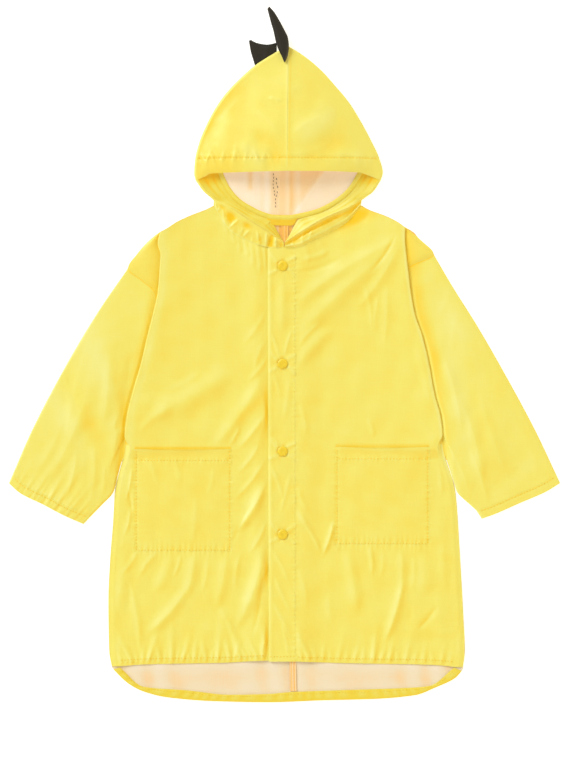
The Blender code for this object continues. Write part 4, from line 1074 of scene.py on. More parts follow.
@dataclass
class Front:
    """One front panel, with the fold that overhangs its armhole."""
    side: SideShape
    edge_points: int = 7
    row_step: float = 2.6

    def side_out(self, y: float) -> float:
        """How far out the front reaches at y, seen from above."""
        if y > FOLD_END or y < self.side.seam[-1][1]:
            return float(out_at(self.side.edge, y))
        return float(out_at(self.side.seam, y))

    def section(self, y: float) -> Array:
        """Section of the outer edge: a half turn down, back, a half turn down, to the seam.

        Below the armhole it is a soft fall to the side seam, with as many points.

        Args:
            y: the row's height.

        Returns:
            Rows of (out, height), from the flat cloth outwards.
        """
        edge = self.side_out(y)
        if y <= FOLD_END:
            share = ramp(2 * self.edge_points + 6)
            crest = np.interp(y, [self.side.seam[-1][1], FOLD_END - 4], [3.3, 6])
            height = crest + (SEAM_MID - crest) * ease(share * 1.3 - .15)
            return np.stack([edge - WALL / 2 - (SIDE_FALL - WALL / 2) * (1 - share), height], 1)
        radius = FOLD_PITCH / 2
        turn = np.linspace(math.pi / 2, -math.pi / 2, self.edge_points)
        ahead, up = radius * np.cos(turn), radius * np.sin(turn)
        end = float(out_at(self.side.seam, y))
        inner = min(edge - np.interp(y, [-107, -60, 40, 150], [2.5, 9, 11, 3]), end - 1)
        first = np.stack([edge - WALL / 2 - radius + ahead, SEAM_MID + 3 * radius + up], axis=1)
        second = np.stack([inner - ahead, SEAM_MID + radius + up], axis=1)
        tail = np.stack([np.linspace(inner, end, 7)[1:], np.full(6, SEAM_MID)], axis=1)
        beyond = np.clip((tail[:, 0] - edge) / max(end - edge, 1), .0, 1)
        tail[:, 1] += 2.2 * arch(beyond) ** .7 * ease((end - edge - 4) / 10)
        return np.concatenate([first, second, tail])

    def grid(self) -> Array:
        """Points of the panel, the folded edge first, with every fold and crease.

        Each row of the table gives a line across; smooth curves down the columns fill in the
        rows between. The height is the body's, carried level over the fold's depth.

        Returns:
            (rows, columns, 3) in millimetres.
        """
        side = self.side
        top = list(side.shoulder) + list(side.neck)
        coarse, sections = [], []
        for y_row, top_share, hem_share in zip(side.rows, TOP_SHARES, HEM_SHARES):
            inset = WALL / 2 + FOLD_PITCH / 2 if y_row > FOLD_END else SIDE_FALL
            start = self.side_out(y_row) - inset
            knots = [start, side.guide(y_row, 1), side.guide(y_row, 2)]
            knots += [place for place, _ in side.inner_columns]
            cells = [POCKET_START, POCKET_COLUMNS - 1]
            cells += [round(1.6 * count) for _, count in side.inner_columns]
            parts = [np.linspace(a, b, n, endpoint=False) for a, b, n in zip(knots, knots[1:], cells)]
            out = np.concatenate(parts + [[knots[-1]]])
            y = y_row + (y_at(top, out) - y_at(top, start)) * top_share
            hem = y_at(FRONT_HEM, side.sign * out) - y_at(FRONT_HEM, side.sign * start)
            coarse.append(np.stack([out, y + hem * hem_share], axis=-1))
            section = self.section(y_row)
            y_line = np.full((len(section), 1), coarse[-1][0, 1])
            sections.append(np.concatenate([section[:, :1], y_line, section[:, 1:]], axis=1))
        keys = -np.array(side.rows, dtype=float)
        fine = np.unique(np.concatenate([keys, np.arange(keys[0], keys[-1], self.row_step)]))
        plan = refine_rows(np.array(coarse), keys, fine)
        edge = refine_rows(np.array(sections), keys, fine)
        self.fine_rows, self.seam = -fine, edge[:, -1, :2]
        out, y = plan[:, :, 0], plan[:, :, 1]
        x = side.sign * out
        height = body_height(x, y)
        inwards = np.maximum(out[:, :1] - out - 4, .0) / 34
        height = height + (edge[:, :1, 2] - height[:, :1]) * np.exp(-inwards ** 1.4)
        detail = front_detail(x, y) * ease((out[:, :1] - out) / 9)
        if side is LEFT:
            start = 27.5 + 14 * (1 - np.minimum(strong_lap(y), 1))
            height -= (LAYER + .1) * ease((start - out) / (start - 21.6))
        fold = edge[:, ::-1].copy()
        fold[:, :, 0] *= side.sign
        return np.concatenate([fold[:, :-1], np.stack([x, y, height + detail], axis=-1)], axis=1)

    def first_flat(self) -> int:
        """Index of the first column of the flat cloth."""
        return 2 * self.edge_points + 5

    def painted_shading(self, grid: Array) -> Array:
        """Painted shading for the material: painted highlight where a place stands above its surroundings
        and painted shade where it lies below, with painted light and shade by its turn, the folds, the
        placket and the pockets.

        Args:
            grid: the panel's points.

        Returns:
            Values from -1 to 1.
        """
        x, y = grid[:, :, 0], grid[:, :, 1]
        folded = np.arange(grid.shape[1])[None, :] < self.first_flat()
        # Painted highlight on ridges and painted shade in troughs, from the heights of the fine and the
        # broad folds.
        value = .08 * front_detail(x, y) + .05 * relief(MAIN_FOLDS, x, y)
        # Painted light and shade by how the flat cloth is turned to the window.
        value += 1.8 * turned_tint(grid) * ~folded
        # Painted shadow beside the placket's free edge where it laps.
        value -= .5 * strong_lap(y) * bell(x + 24, 2.5)
        # Painted shade on the fold's under layer, strongest next to the fold's edge.
        inside = out_at(self.side.edge, y) - np.abs(x)
        under = grid[:, :, 2] < SEAM_MID + 1.4 * FOLD_PITCH
        shade = .15 + .7 * np.exp(-np.maximum(-inside, .0) / 8)
        value -= folded * under * (y > FOLD_END) * shade
        if self.side is LEFT:
            # Painted highlight along the left fold's edge, and painted shade along one diagonal fold.
            value += .3 * bell(inside - 7, 5.5) * ease((y + 215) / 40)
            value -= .25 * Crease(-18, -44, -78, -92, 4, 8, 1).height(x, y)
        else:
            # Painted highlight along the right fold's edge, and a painted shadow on the right shoulder below
            # the turned edge.
            value += .5 * bell(inside - 2.6, 2) * ease((y + 200) / 60)
            value -= 1.1 * bell(np.hypot((x - 90) * .38, y - 184 - .35 * (x - 90)), 13)
        # Painted shadow just above each pocket's mouth.
        mouth = self.side.pocket[0]
        outer, inner = self.side.guide(mouth, 1), self.side.guide(mouth, 2)
        within = (np.abs(x) < outer - 1) & (np.abs(x) > inner + 1)
        return value - .8 * within * bell(y - mouth - 1, 2)


def turned_tint(grid: Array) -> Array:
    """Paler or deeper yellow on cloth turned towards or from the window, from -0.35 to 0.35.

    A flank that looks away sees the yellow cloth beside it instead of the sky. The value is the
    level part of the normal, along the direction to the window.
    """
    normal = normals_of(grid)
    return np.clip(.68 * normal[:, :, 1] - .73 * normal[:, :, 0], -.35, .35)


def painted_crease_shading(grid: Array, scale: float) -> Array:
    """Painted shading of any grid: painted highlight where its height stands above a blurred copy of it,
    painted shade where it lies below, and painted light and shade by how it is turned.

    Args:
        grid: the points, nearly level.
        scale: value for each millimetre of difference.

    Returns:
        Values from -1 to 1.
    """
    height = grid[:, :, 2]
    blurred = height
    for _ in range(6):
        padded = np.pad(blurred, 2, mode="edge")
        blurred = (padded[:-4, 2:-2] + padded[4:, 2:-2] + padded[2:-2, :-4] + padded[2:-2, 4:]
            + padded[2:-2, 2:-2]) / 5
    return np.clip((height - blurred) * scale + 1.1 * turned_tint(grid), -1, 1)


@dataclass
class Body:
    """Both fronts with their pockets, the placket and the snaps."""
    shop: Workshop

    def build(self) -> Grids:
        """Make the pieces.

        Returns:
            The grids that stitches and sleeves need, by name.
        """
        grids: Grids = {}
        for side in (LEFT, RIGHT):
            front, name = Front(side), side.name
            grid = front.grid()
            grids["front_" + name], grids["seam_" + name] = grid, front.seam
            grids["rows_" + name] = front.fine_rows
            self.shop.cloth("front_panel_" + name, "front_" + name, [grid], face_for(side.sign),
                [front.painted_shading(grid)], [front_crinkle(grid[:, :, 0], grid[:, :, 1])], rests_on=BACKS,
                held="folded")
            grids["pocket_" + name] = self.pocket(front, grid, side)
        grids["placket"] = self.placket(grids["front_right"])
        for number, y in enumerate(SNAP_Y, start=1):
            self.snap(f"snap_cap_{number}", f"snap_{number}", y)
        return grids

    def pocket(self, front: Front, grid: Array, side: SideShape) -> Array:
        """A patch pocket: the front's own points, moved out, its mouth puffed and dipped.

        Args:
            front: the front that carries it.
            grid: that front's points.
            side: the side's tables.

        Returns:
            The pocket's points.
        """
        first, last = (int(np.argmin(np.abs(front.fine_rows - y))) for y in side.pocket)
        start = front.first_flat() + POCKET_START
        part = slice(first, last + 1), slice(start, start + POCKET_COLUMNS)
        patch = grid[part] + normals_of(grid)[part] * ((SHELL + POCKET_WALL) / 2 + SEAM_GAP)
        down, across = ramp(patch.shape[0])[:, None], ramp(POCKET_COLUMNS)[None, :]
        patch[:, :, 1] -= 2.4 * arch(across) ** 2 * bell(down, .05)
        patch[:, :, 2] += 1.1 * arch(across) * arch(down) * (1 - down)
        patch[:, :, 2] += .9 * bell(down, .035) * arch(across) ** .3
        casing_wave = np.sin(across * 118 + 2 * np.sin(across * 31))
        patch[:, :, 2] += .3 * (1 + casing_wave) * bell(down - .125, .03)
        patch[:, :, 2] -= .15 * bell(down - .115, .014) * arch(across) ** .3
        self.shop.cloth("patch_pocket_" + side.name, "pocket_" + side.name, [patch], face_for(side.sign),
            [painted_crease_shading(patch, .35) - .06], [.5], wall=POCKET_WALL, rests_on=["front_panel_" + side.name])
        return patch

    def placket(self, front: Array) -> Array:
        """The band over the fronts' middle, raised at each snap by small pulls in the cloth.

        Args:
            front: the lapping front's points.

        Returns:
            The band's points.
        """
        xs = np.linspace(PLACKET_X[1], PLACKET_X[0], 34)[None, :]
        y = front[:, -1:, 1]
        share = (PLACKET_X[1] - xs) / (PLACKET_X[1] - PLACKET_X[0])
        x = xs - 1.6 * (y + 414) / 560 * share
        y = y + (1 - ease((146 - y) / 30)) * (1.5 * arch(share))
        height, painted_star_shade = body_height(x, y), np.zeros(x.shape)
        for place in SNAP_Y:
            away = np.hypot(x - SNAP_X, y - place)
            height -= .25 * bell(away, 9)
            rays = .5 + .5 * np.cos(7 * np.arctan2(y - place, x - SNAP_X) + place)
            height += .3 * rays * bell(away - 9, 4)
            # Painted shade along the rays that each snap pulls in the cloth.
            painted_star_shade += rays * bell(away - 8, 3)
            for turn in (.5, 2.3, 3.6, 5.6):
                end = SNAP_X + 26 * math.cos(turn), place + 26 * math.sin(turn)
                height += Crease(SNAP_X, place, *end, 2, 2.5, .9, .6).height(x, y)
        height += seam_puckers(x, y) + .18 * bell(xs - 14.2, 1.5)
        height += .3 * bell(xs + 17.6, 2.6)
        height -= (.9 - .7 * strong_lap(y)) * bell(xs + 21.4, 1.6)
        height += .4 * unevenness(x, y, 1, 1.7) * ease((xs - PLACKET_X[0]) / 8)
        height += relief(PLACKET_CREASES, x, y)
        for place in SNAP_Y:
            under_cap = ease((9 - np.hypot(x - SNAP_X, y - place)) / 1.6)
            height += (CENTRE_MID - .15 - height) * under_cap
        grid = np.stack([x, y, height], axis=-1)
        # Painted light and shade from the relief, and painted shade along the snaps' rays.
        self.shop.cloth("snap_placket", "placket", [grid], Face.OUTER_UP,
            [painted_crease_shading(grid, .4) - .45 * painted_star_shade], [.6], rests_on=["front_panel_left"])
        return grid

    def snap(self, name: str, node: str, y: float) -> None:
        """A domed cap with a dished middle: a profile turned about its axis.

        Args:
            name: the piece's name.
            node: the solid that it replaces.
            y: the cap's place on the placket.
        """
        profile = along([(0, 1.25), (2.2, 1.3), (3.2, 1.42), (4.2, 1.4), (5.4, 1.15), (6.3, .75),
            (SNAP_RADIUS, .3), (6.6, 0)], ramp(26))
        angle = np.linspace(.0, 2 * np.pi, 48, endpoint=False)
        base = CENTRE_MID + WALL / 2 + .15
        grid = np.stack([SNAP_X + profile[:, :1] * np.cos(angle), y + profile[:, :1] * np.sin(angle),
            base + profile[:, 1:] + .0 * angle], axis=-1)
        mesh = mesh_from(name, [grid], True, True)
        self.shop.place(name, mesh, "snap_yellow", node, [self.shop.palette.cap])


def sleeve_painted_shading(ring: Array, side: SideShape) -> Array:
    """Painted shading of a sleeve: a painted shadow beside the front's fold, which shades it, painted light
    and shade from its relief and turn, broad painted light and shade bands, and deeper yellow at its armhole
    end.

    Args:
        ring: the sleeve's points.
        side: the side's tables.

    Returns:
        Values from -1 to 1.
    """
    out, y = side.sign * ring[:, :, 0], ring[:, :, 1]
    away = np.maximum(out - out_at(side.edge, y), .0)
    shade_reach, depth = SHADES[side.sign]
    reach = np.interp(y, [-140, -60, 34, 142], shade_reach)
    shade = ease((reach - away) / (.8 * reach)) * ease((y + 180) / 60)
    painted_shading = painted_crease_shading(ring, .12) + .8 * turned_tint(ring) + .1
    painted_shading[0] -= .9
    for place, level, turn, length, width, value in SOFT_BANDS[side.sign]:
        lean = math.radians(turn)
        long = (out - place) * math.cos(lean) + (y - level) * math.sin(lean)
        wide = (y - level) * math.cos(lean) - (out - place) * math.sin(lean)
        painted_shading += value * bell(np.hypot(long / length, wide / width), 1)
    return painted_shading - depth * shade


def sleeve_crinkle(ring: Array, side: SideShape) -> Array:
    """How crumpled a sleeve is: more towards a gathered cuff and on the inner half.

    Args:
        ring: the sleeve's points.
        side: the side's tables.

    Returns:
        Values from 0.
    """
    station = ramp(ring.shape[0])[:, None]
    column = np.clip(np.arange(ring.shape[1]) / SLEEVE_COLUMNS, .0, 1)[None, :]
    gathered = .9 * ease((station - .84) / .14) * (side is LEFT)
    return .35 + .35 * station + .25 * column + gathered


def edge_ways(plan: Array, first_share: Array, last_share: Array) -> list[Array]:
    """Directions out of a plan's first and last columns.

    They stand square to the tube's edge at share 0 and follow the row at share 1.

    Args:
        plan: (stations, columns, 2).
        first_share, last_share: share at each station for the two columns.

    Returns:
        Two arrays of unit vectors.
    """
    ways = []
    for column, step, turn, share in ((0, 1, 1, first_share), (-1, -2, -1, last_share)):
        square = turn * left_of(plan[:, column])
        row = unit(plan[:, column] - plan[:, step])
        ways.append(unit(square * (1 - share)[:, None] + row * share[:, None]))
    return ways


def drawn_in(plan: Array, ways: list[Array], distance: Array, whole: Array) -> Array:
    """Draw a plan's two edges in by a distance.

    Args:
        plan: (stations, columns, 2).
        ways: the directions out.
        distance: how far, at each station.
        whole: how far the inner columns share in the move, from 0 to 1.

    Returns:
        The moved plan.
    """
    reach = np.linalg.norm(plan - plan[:, :1], axis=2)
    share = reach / reach[:, -1:]
    near_end = np.stack([ease(1 - share * 12), ease(1 - (1 - share) * 12)])
    side_share = np.stack([1 - share, share])
    weight = side_share * whole[:, None] + near_end * (1 - whole[:, None])
    moved = plan.copy()
    for part, way in zip(weight, ways):
        moved -= (part * distance[:, None])[:, :, None] * way[:, None]
    return moved


def gathers(plan: Array, end: Array, shares: Array) -> Array:
    """Gathers that run up the sleeve from an elastic cuff.

    Args:
        plan: the sleeve's plan.
        end: the cuff's seam.
        shares: the columns' shares.

    Returns:
        Height to add.
    """
    away = np.linalg.norm(plan - end[None], axis=2)
    width = float(np.linalg.norm(end[-1] - end[0]))
    total = np.zeros(plan.shape[:2])
    for share, length, wide, rise in CUFF_PUCKERS:
        lean = share + .0004 * away * math.sin(9 * share)
        total += rise * bell((shares - lean) * width, wide) * np.exp(-1.5 * away / length)
    return total


@dataclass
class Sleeves:
    """Both sleeves and their cuffs."""
    shop: Workshop
    fold_points: int = 5

    def build(self, grids: Grids) -> None:
        """Make both sleeves and cuffs, and keep the cuffs' upper walls for the stitches.

        Args:
            grids: the body's grids; the cuffs add theirs.
        """
        for side in (LEFT, RIGHT):
            name, rows = side.name, grids["rows_" + side.name]
            keep = (rows <= side.rows[side.armhole_row] + .01) & (rows >= side.seam[-1][1])
            line = offset_line(grids["seam_" + name][keep], -SEAM_GAP)
            line[-1] = side.sleeve_inner[0]
            ring = self.sleeve(side, line)
            self.shop.cloth("sleeve_tube_" + name, "sleeve_" + name, [ring], face_for(side.sign),
                [sleeve_painted_shading(ring, side)], [sleeve_crinkle(ring, side)], closed=True, held="folded")
            ring = self.cuff(side)
            grids["cuff_" + name] = ring[:, :CUFF_COLUMNS]
            self.shop.cloth("cuff_band_" + name, "cuff_" + name, [ring], face_for(side.sign),
                [painted_crease_shading(ring, .5)], [.5], closed=True, held="folded")

    def ring(self, plan: Array, ways: list[Array], radius: Array, rise: Array) -> Array:
        """Close a plan into rings: upper wall, inner fold, lower wall, outer fold.

        Args:
            plan: (stations, columns, 2).
            ways: the directions out.
            radius: the folds' radius at each station.
            rise: height of the upper wall.

        Returns:
            (stations, ring points, 3).
        """
        under = plan[:, ::-1].copy()
        under[0] += .7 * (under[1] - under[0])
        angles = np.linspace(math.pi / 2, -math.pi / 2, self.fold_points + 2)[1:-1]
        folds = []
        for column, down in ((-1, 1), (0, -1)):
            ahead = (radius[:, None] * np.cos(angles))[:, :, None]
            height = FLOOR_MID + radius[:, None] * (1 + down * np.sin(angles))
            folds.append(raised(plan[:, column, None] + ways[column][:, None] * ahead, height))
        lower = raised(under, np.full(rise.shape, FLOOR_MID))
        return np.concatenate([raised(plan, rise), folds[0], lower, folds[1]], axis=1)

    def sleeve(self, side: SideShape, first: Array) -> Array:
        """A flattened tube: a blend of its four borders (a Coons patch) for each wall.

        Args:
            side: the side's tables.
            first: the armhole line, already moved off the body.

        Returns:
            The ring grid in millimetres, its upper wall first.
        """
        shares, reach = ramp(SLEEVE_COLUMNS), reach_of(first)
        reach /= reach[-1]
        head, cuff = read_line(shares, reach, first), along(side.cuff_seam, shares)
        stations = np.concatenate([np.linspace(.0, .12, 17), np.linspace(.12, 1, 96)[1:]])
        outer, inner = along(side.sleeve_outer, stations), along(side.sleeve_inner, stations)
        outer[0], inner[0] = head[0], head[-1]
        outer[-1], inner[-1] = cuff[0], cuff[-1]
        s, w = stations[:, None, None], shares[None, :, None]
        plan = ((1 - s) * head[None] + s * cuff[None] + (1 - w) * outer[:, None] + w * inner[:, None]
            - (1 - s) * (1 - w) * head[0] - (1 - s) * w * head[-1] - s * (1 - w) * cuff[0]
            - s * w * cuff[-1])
        radius = .85 + .9 * ease((stations - .1) / .25)
        to_cuff = ease((stations - .5) / .4)
        from_armhole = 1 - ease(stations / .08)
        ways = edge_ways(plan, to_cuff + from_armhole, to_cuff)
        plan = drawn_in(plan, ways, radius + SHELL / 2, np.minimum(stations / .03, 1))
        ends = (radius[0] + SHELL / 2) / reach_of(first)[-1]
        plan[0] = read_line(np.linspace(ends, 1 - ends, SLEEVE_COLUMNS), reach, first)
        x, y = side.sign * plan[:, :, 0], plan[:, :, 1]
        across = arch(shares)[None, :] ** .7
        away = ease((stations[:, None] * 300 - 3) / 26)
        base = FLOOR_MID + 2 * radius[:, None]
        shape = .65 * relief(SLEEVE_CREASES[side.sign], x, y) + unevenness(x, y, .4, 2.2 + side.sign)
        if side is LEFT:
            shape = shape + gathers(plan, cuff, shares)
        rise = np.maximum(base + (.9 + shape) * away * across, SEAM_MID)
        beyond = plan[:, :, 0] - out_at(side.edge, y)
        puff = (2.4 if side is RIGHT else 1) * ease((beyond - .8) / 4)
        puff *= 1 - ease((stations[:, None] - .7) / .22)
        rise += .6 * puff * away * across
        under = SEAM_MID + .9 * ease((beyond + 9) / 6) + puff * away
        under += 8 * ease((beyond - 1) / 40)
        under += 9 * ease((FOLD_END + 22 - y) / 26)
        rise = np.minimum(rise, np.maximum(under, base * (across < .01)))
        ring = self.ring(plan, ways, radius, rise)
        ring[:, :, 0] *= side.sign
        return ring

    def cuff(self, side: SideShape) -> Array:
        """The turned cuff: a short flat tube, gathered on the left and smooth on the right.

        Args:
            side: the side's tables.

        Returns:
            The ring grid, its upper wall first.
        """
        shares, radius, whole = ramp(CUFF_COLUMNS), np.full(CUFF_ROWS, 1.75), np.ones(CUFF_ROWS)
        start = offset_line(along(side.cuff_seam, shares), -SEAM_GAP)
        blend = ramp(CUFF_ROWS)[:, None, None]
        plan = (1 - blend) * start[None] + blend * along(side.cuff, shares)[None]
        ways = edge_ways(plan, whole, whole)
        plan = drawn_in(plan, ways, radius + SHELL / 2, whole)
        down = blend[:, :, 0]
        if side is LEFT:
            width = float(np.linalg.norm(start[-1] - start[0]))
            wave = np.zeros(plan.shape[:2])
            for share, _, wide, rise in CUFF_PUCKERS:
                place = share + .012 * math.sin(40 * share) * down
                wave += rise * bell((shares - place) * width, wide)
            wave *= 1 - .35 * down
        else:
            wave = unevenness(side.sign * plan[:, :, 0], plan[:, :, 1], .4, 2.2 + side.sign)
        turned = .9 - .5 * bell(down - .22, .07) - .4 * down
        rise = FLOOR_MID + 2 * radius[:, None] + (wave + turned) * arch(shares) ** .7
        ring = self.ring(plan, ways, radius, rise)
        ring[:, :, 0] *= side.sign
        return ring


def inner_painted_shading(x: Array, y: Array) -> Array:
    """Painted shading of the hood's inside: painted light on both sides, painted shade beside the seam, and
    painted light and shade along its soft folds.

    Args:
        x, y: places on the plan.

    Returns:
        Values from -1 to 1.
    """
    painted_light = .75 * ease((-16 - x) / 10)
    line = 48 + (y - 242) * .75
    painted_light = painted_light + .55 * ease((x - line) / 3)
    painted_shade = .25 * ease((x + 9) / 4) * ease((line - x) / 6)
    # Painted light and shade along the soft folds of the inside.
    stripes = .5 * bell(x - 18, 4) - .35 * bell(x - 9, 2.5) + .4 * bell(x - 4, 3)
    stripes = stripes - .9 * bell(x + 46, 3.5) * ease((y - 218) / 8)
    stripes = stripes - .3 * bell(x + 30, 3) + .3 * bell(x + 22, 4)
    return painted_light - painted_shade + stripes


def top_height(x: Array, y: Array, share: Array, base: float, rim: Array) -> tuple[Array, Array]:
    """Height of the upper cloth between the fold (share 0) and the brim (share 1).

    It rises by a smooth step with a swell; creases, puckers and the casing are added.

    Args:
        x, y: places on the plan.
        share: place between fold and brim.
        base, rim: heights at the fold and at the brim.

    Returns:
        The heights and the painted shading values.
    """
    swell = 2.5 * arch(share) * ease((rim - base) / 8)
    height = base + (rim - base) * ease(share) ** .9 + swell
    inside = arch(np.clip(share, .0, 1)) ** .5
    above = y - BRIM_Y - BRIM_CASING
    casing, pucker = bell(above, 1.6), np.zeros(x.shape)
    for place, length, width, rise, slant in BRIM_PUCKERS:
        lean = place + (slant + .0016 * place) * above
        pucker += rise * bell(x - lean, width) * np.exp(-np.abs(above) / (.6 * length))
    pucker *= 2.3 * ease((y - 244) / 6) * ease(share / .15)
    seam = BRIM_SEAM_X + (CROWN_SEAM_X - BRIM_SEAM_X) * np.clip((y - 247) / 160, .0, 1)
    allowance = ease(x - seam + .4) * ease((seam + 7 - x) / 1.6)
    ridge = (.25 * allowance + .35 * bell(x - seam, 1.2)) * ease((y - 262) / 6)
    line = .3 * bell(x - seam, 1.3) - .35 * bell(x - seam - 3, 1.4)
    bar = .5 * bell((x - seam - 4) / 6, 1) ** 4 * bell(y - 267, 3)
    folds = relief(HOOD_FOLDS, x, y)
    detail = pucker - .8 * casing + ridge + bar + unevenness(x, y, .5, .2) * inside
    # Painted light and shade on the folds and gathers, painted shade in the casing's groove, a painted
    # highlight on the crown seam with painted shade to its right, and deeper yellow towards the left and in
    # one patch by the left edge.
    painted_shading = .16 * folds + .16 * pucker - .3 * casing + line * ease((y - 250) / 6)
    painted_shading = painted_shading - .45 * ease((-x - 35) / 45)
    painted_shading = painted_shading - .35 * bell(np.hypot(x + 101, y - 306), 16)
    return height + folds * inside + detail * ease(share / .1), painted_shading


@dataclass
class Hood:
    """The hood with its brim, facings, neck binding, turned edges and spikes."""
    shop: Workshop
    crown_count: int = 84
    cheek_count: int = 15
    fold_count: int = 11

    def build(self, grids: Grids) -> None:
        """Make every piece of the hood.

        Args:
            grids: the coat's grids, which get the hood's upper walls.
        """
        crests: dict[int, Points] = {}
        for side in (LEFT, RIGHT):
            name, sign, shape = side.name, side.sign, HOOD_SHAPES[side.sign]
            parts, painted_shadings = self.half(sign)
            grids["hood_" + name] = parts[0]
            gathered = (.3 + 1.8 * bell(parts[0][:, :, 1] - 258, 10)) * (sign < 0)
            self.shop.cloth("hood_half_" + name, "hood_" + name, parts, face_for(-sign), painted_shadings,
                [.3 + gathered, .3, .5], self.shop.palette.hood, held="folded")
            cheek = parts[1][self.crown_count - 1:, 0].copy()
            cheek[:, 0] *= sign
            crests[sign] = [shape.corner] + [tuple(p) for p in cheek[::2]] + shape.crest
        beside = offset_line(BINDING, BINDING_WIDTH + SEAM_GAP)
        inner = {-1: [(-x, y) for x, y in beside[:6]], 1: [tuple(p) for p in beside[:-6:-1]]}
        for side in (LEFT, RIGHT):
            ends = inner[side.sign] + HOOD_SHAPES[side.sign].facing_end
            self.facing(side, crests[side.sign], ends)
        for side in (LEFT, RIGHT):
            self.collar(side, HOOD_SHAPES[side.sign])
        self.binding()
        self.spikes()

    def half(self, sign: int) -> tuple[list[Array], list[Array]]:
        """Half of the hood: top from brim to fold, the fold, and the part on the floor.

        Args:
            sign: which half.

        Returns:
            The three grids and their painted shading values.
        """
        shape, n = HOOD_SHAPES[sign], self.crown_count
        shares = (np.arange(n) / (n - 1)) ** .9
        line, low = along(shape.outline, shares), along(shape.cheek, ramp(self.cheek_count))
        ahead = ease(shares / .12)[:, None]
        outward = left_of(line) * ahead + np.array([.0, 1]) * (1 - ahead)
        edge, way = np.concatenate([line, low[1:]]), np.concatenate([outward, left_of(low)[1:]])
        for _ in range(4):
            way[1:-1] = .25 * way[:-2] + .5 * way[1:-1] + .25 * way[2:]
        way = unit(way)
        cheeks = np.linspace(2.8, 1.7, self.cheek_count - 1)
        radius = np.concatenate([np.full(n, HOOD_FOLD), cheeks])
        centre = edge - way * (radius + SHELL / 2)[:, None]
        turn = np.linspace(math.pi / 2, -math.pi / 2, self.fold_count)
        reach = centre[:, None] + way[:, None] * (radius[:, None] * np.cos(turn))[:, :, None]
        fold = raised(reach, FLOOR_MID + radius[:, None] * (1 + np.sin(turn)))
        under, painted_shade = self.lower(sign, shares, fold[:, -1, :2])

        steps = np.linspace(1, .0, TOP_COLUMNS)
        top = between(fold[:n, 0, :2], along(shape.brim, shares), steps)
        seam_x = sign * (CROWN_SEAM_X + (BRIM_SEAM_X - CROWN_SEAM_X) * steps)
        top[0, :, 0] = seam_x + SEAM_GAP / 2 + APEX_EASE * (1 - steps)
        base = FLOOR_MID + 2 * HOOD_FOLD
        rim = base + (BRIM_MID - base) * np.clip(1 - shares ** 2.2, .0, 1)
        up, painted_shading = top_height(sign * top[:, :, 0], top[:, :, 1], steps[None, :], base, rim[:, None])
        tops = raised(top, up)
        fold[0, :, 0] = under[0, 0, 0] = sign * CROWN_SEAM_X + SEAM_GAP / 2 + APEX_EASE
        tops[:, -1] = fold[:n, 0]
        grids = [tops, fold, under]
        for grid in grids:
            grid[:, :, 0] *= sign
        return grids, [painted_shading, np.zeros(fold.shape[:2]), painted_shade]

    def lower(self, sign: int, shares: Array, near: Array) -> tuple[Array, Array]:
        """The part of a half that lies on the floor, from the fold to the back neck.

        Args:
            sign: which half.
            shares: place of each row of the crown.
            near: the fold's lower edge.

        Returns:
            The grid and its painted shading.
        """
        cheek = 66 + 18 * ramp(self.cheek_count)[1:]
        far_out = np.concatenate([shares * 66, cheek])
        far = np.stack([far_out, y_at(BACK_NECK, far_out) + GAP + .15], axis=1)
        slide = ramp(32)
        plan = between(near, far, slide)
        target = sign * (CROWN_SEAM_X + (NAPE_SEAM_X - CROWN_SEAM_X) * slide) + SEAM_GAP / 2
        pull = np.exp(-np.arange(len(near)) / 20)[:, None]
        plan[:, :, 0] += (target - plan[0, :, 0]) * pull
        plan[:, 0] = near
        plan[0, :, 0] += APEX_EASE * (1 - slide)
        x, y = sign * plan[:, :, 0], plan[:, :, 1]
        soft = .5 + unevenness(x, y, .5, 3.3) + relief(INNER_FOLDS, x, y)
        soft *= arch(slide)[None, :] ** .4
        return raised(plan, FLOOR_MID + np.maximum(soft, .0)), inner_painted_shading(x, y)

    def collar(self, side: SideShape, shape: HoodShape) -> None:
        """The hood's low front edge, turned down outwards over the neck seam.

        Args:
            side: the side.
            shape: its hood's tables.
        """
        sign, name, reach = side.sign, side.name, (COLLAR_WALL + SHELL) / 2 + .1
        shares, across = ramp(90), ramp(22)
        down, over = shares[:, None], across[None, :]
        crest, foot = along(shape.ridge, shares), along(offset_line(shape.foot, -2.6), shares)
        plan = between(crest, foot, across)
        crest_up = np.interp(down, [.0, .15, .5, 1], [5.2, 7.8, shape.peak, shape.peak - .8])
        x, y = sign * plan[:, :, 0], plan[:, :, 1]
        low = body_height(x, y) + front_detail(x, y) + reach
        height = crest_up + (low[:, -1:] - crest_up) * over ** 1.3
        roll, hollow = np.zeros(height.shape), np.zeros(height.shape)
        for place, lean, width, rise, top in RUFFLES:
            away = down - place - lean * (over - .5)
            crest_line = np.exp(-np.abs(away) / width) * .5 + .5 * bell(away, width)
            roll += rise * crest_line * ease((over - top) / .3)
        for place, level, length, width, depth in shape.hollows:
            hollow += depth * bell(np.hypot((down - place) / length, (over - level) / width), 1)
        seam_roll = bell(over - .78, .12) * (sign > 0)
        height += (shape.waves * roll + 1.1 * seam_roll - hollow) * (1 - over ** 8)
        grid = raised(plan, np.maximum(height, low))
        grid[:, :, 0] *= sign
        # Painted light and shade from the relief, painted shade in the hollows, a painted highlight on the
        # seam's roll, and painted light along the foot that hides its shadow line.
        painted_shading = painted_crease_shading(grid, .25) - .48 * np.minimum(hollow, 2) + .3 * seam_roll
        painted_shading = painted_shading + .6 * ease((over - .88) / .12)
        self.shop.cloth("turned_edge_" + name, "collar_" + name, [grid], face_for(-sign), [painted_shading], [1.6],
            self.shop.palette.collar, wall=COLLAR_WALL, rests_on=["front_panel_" + name])

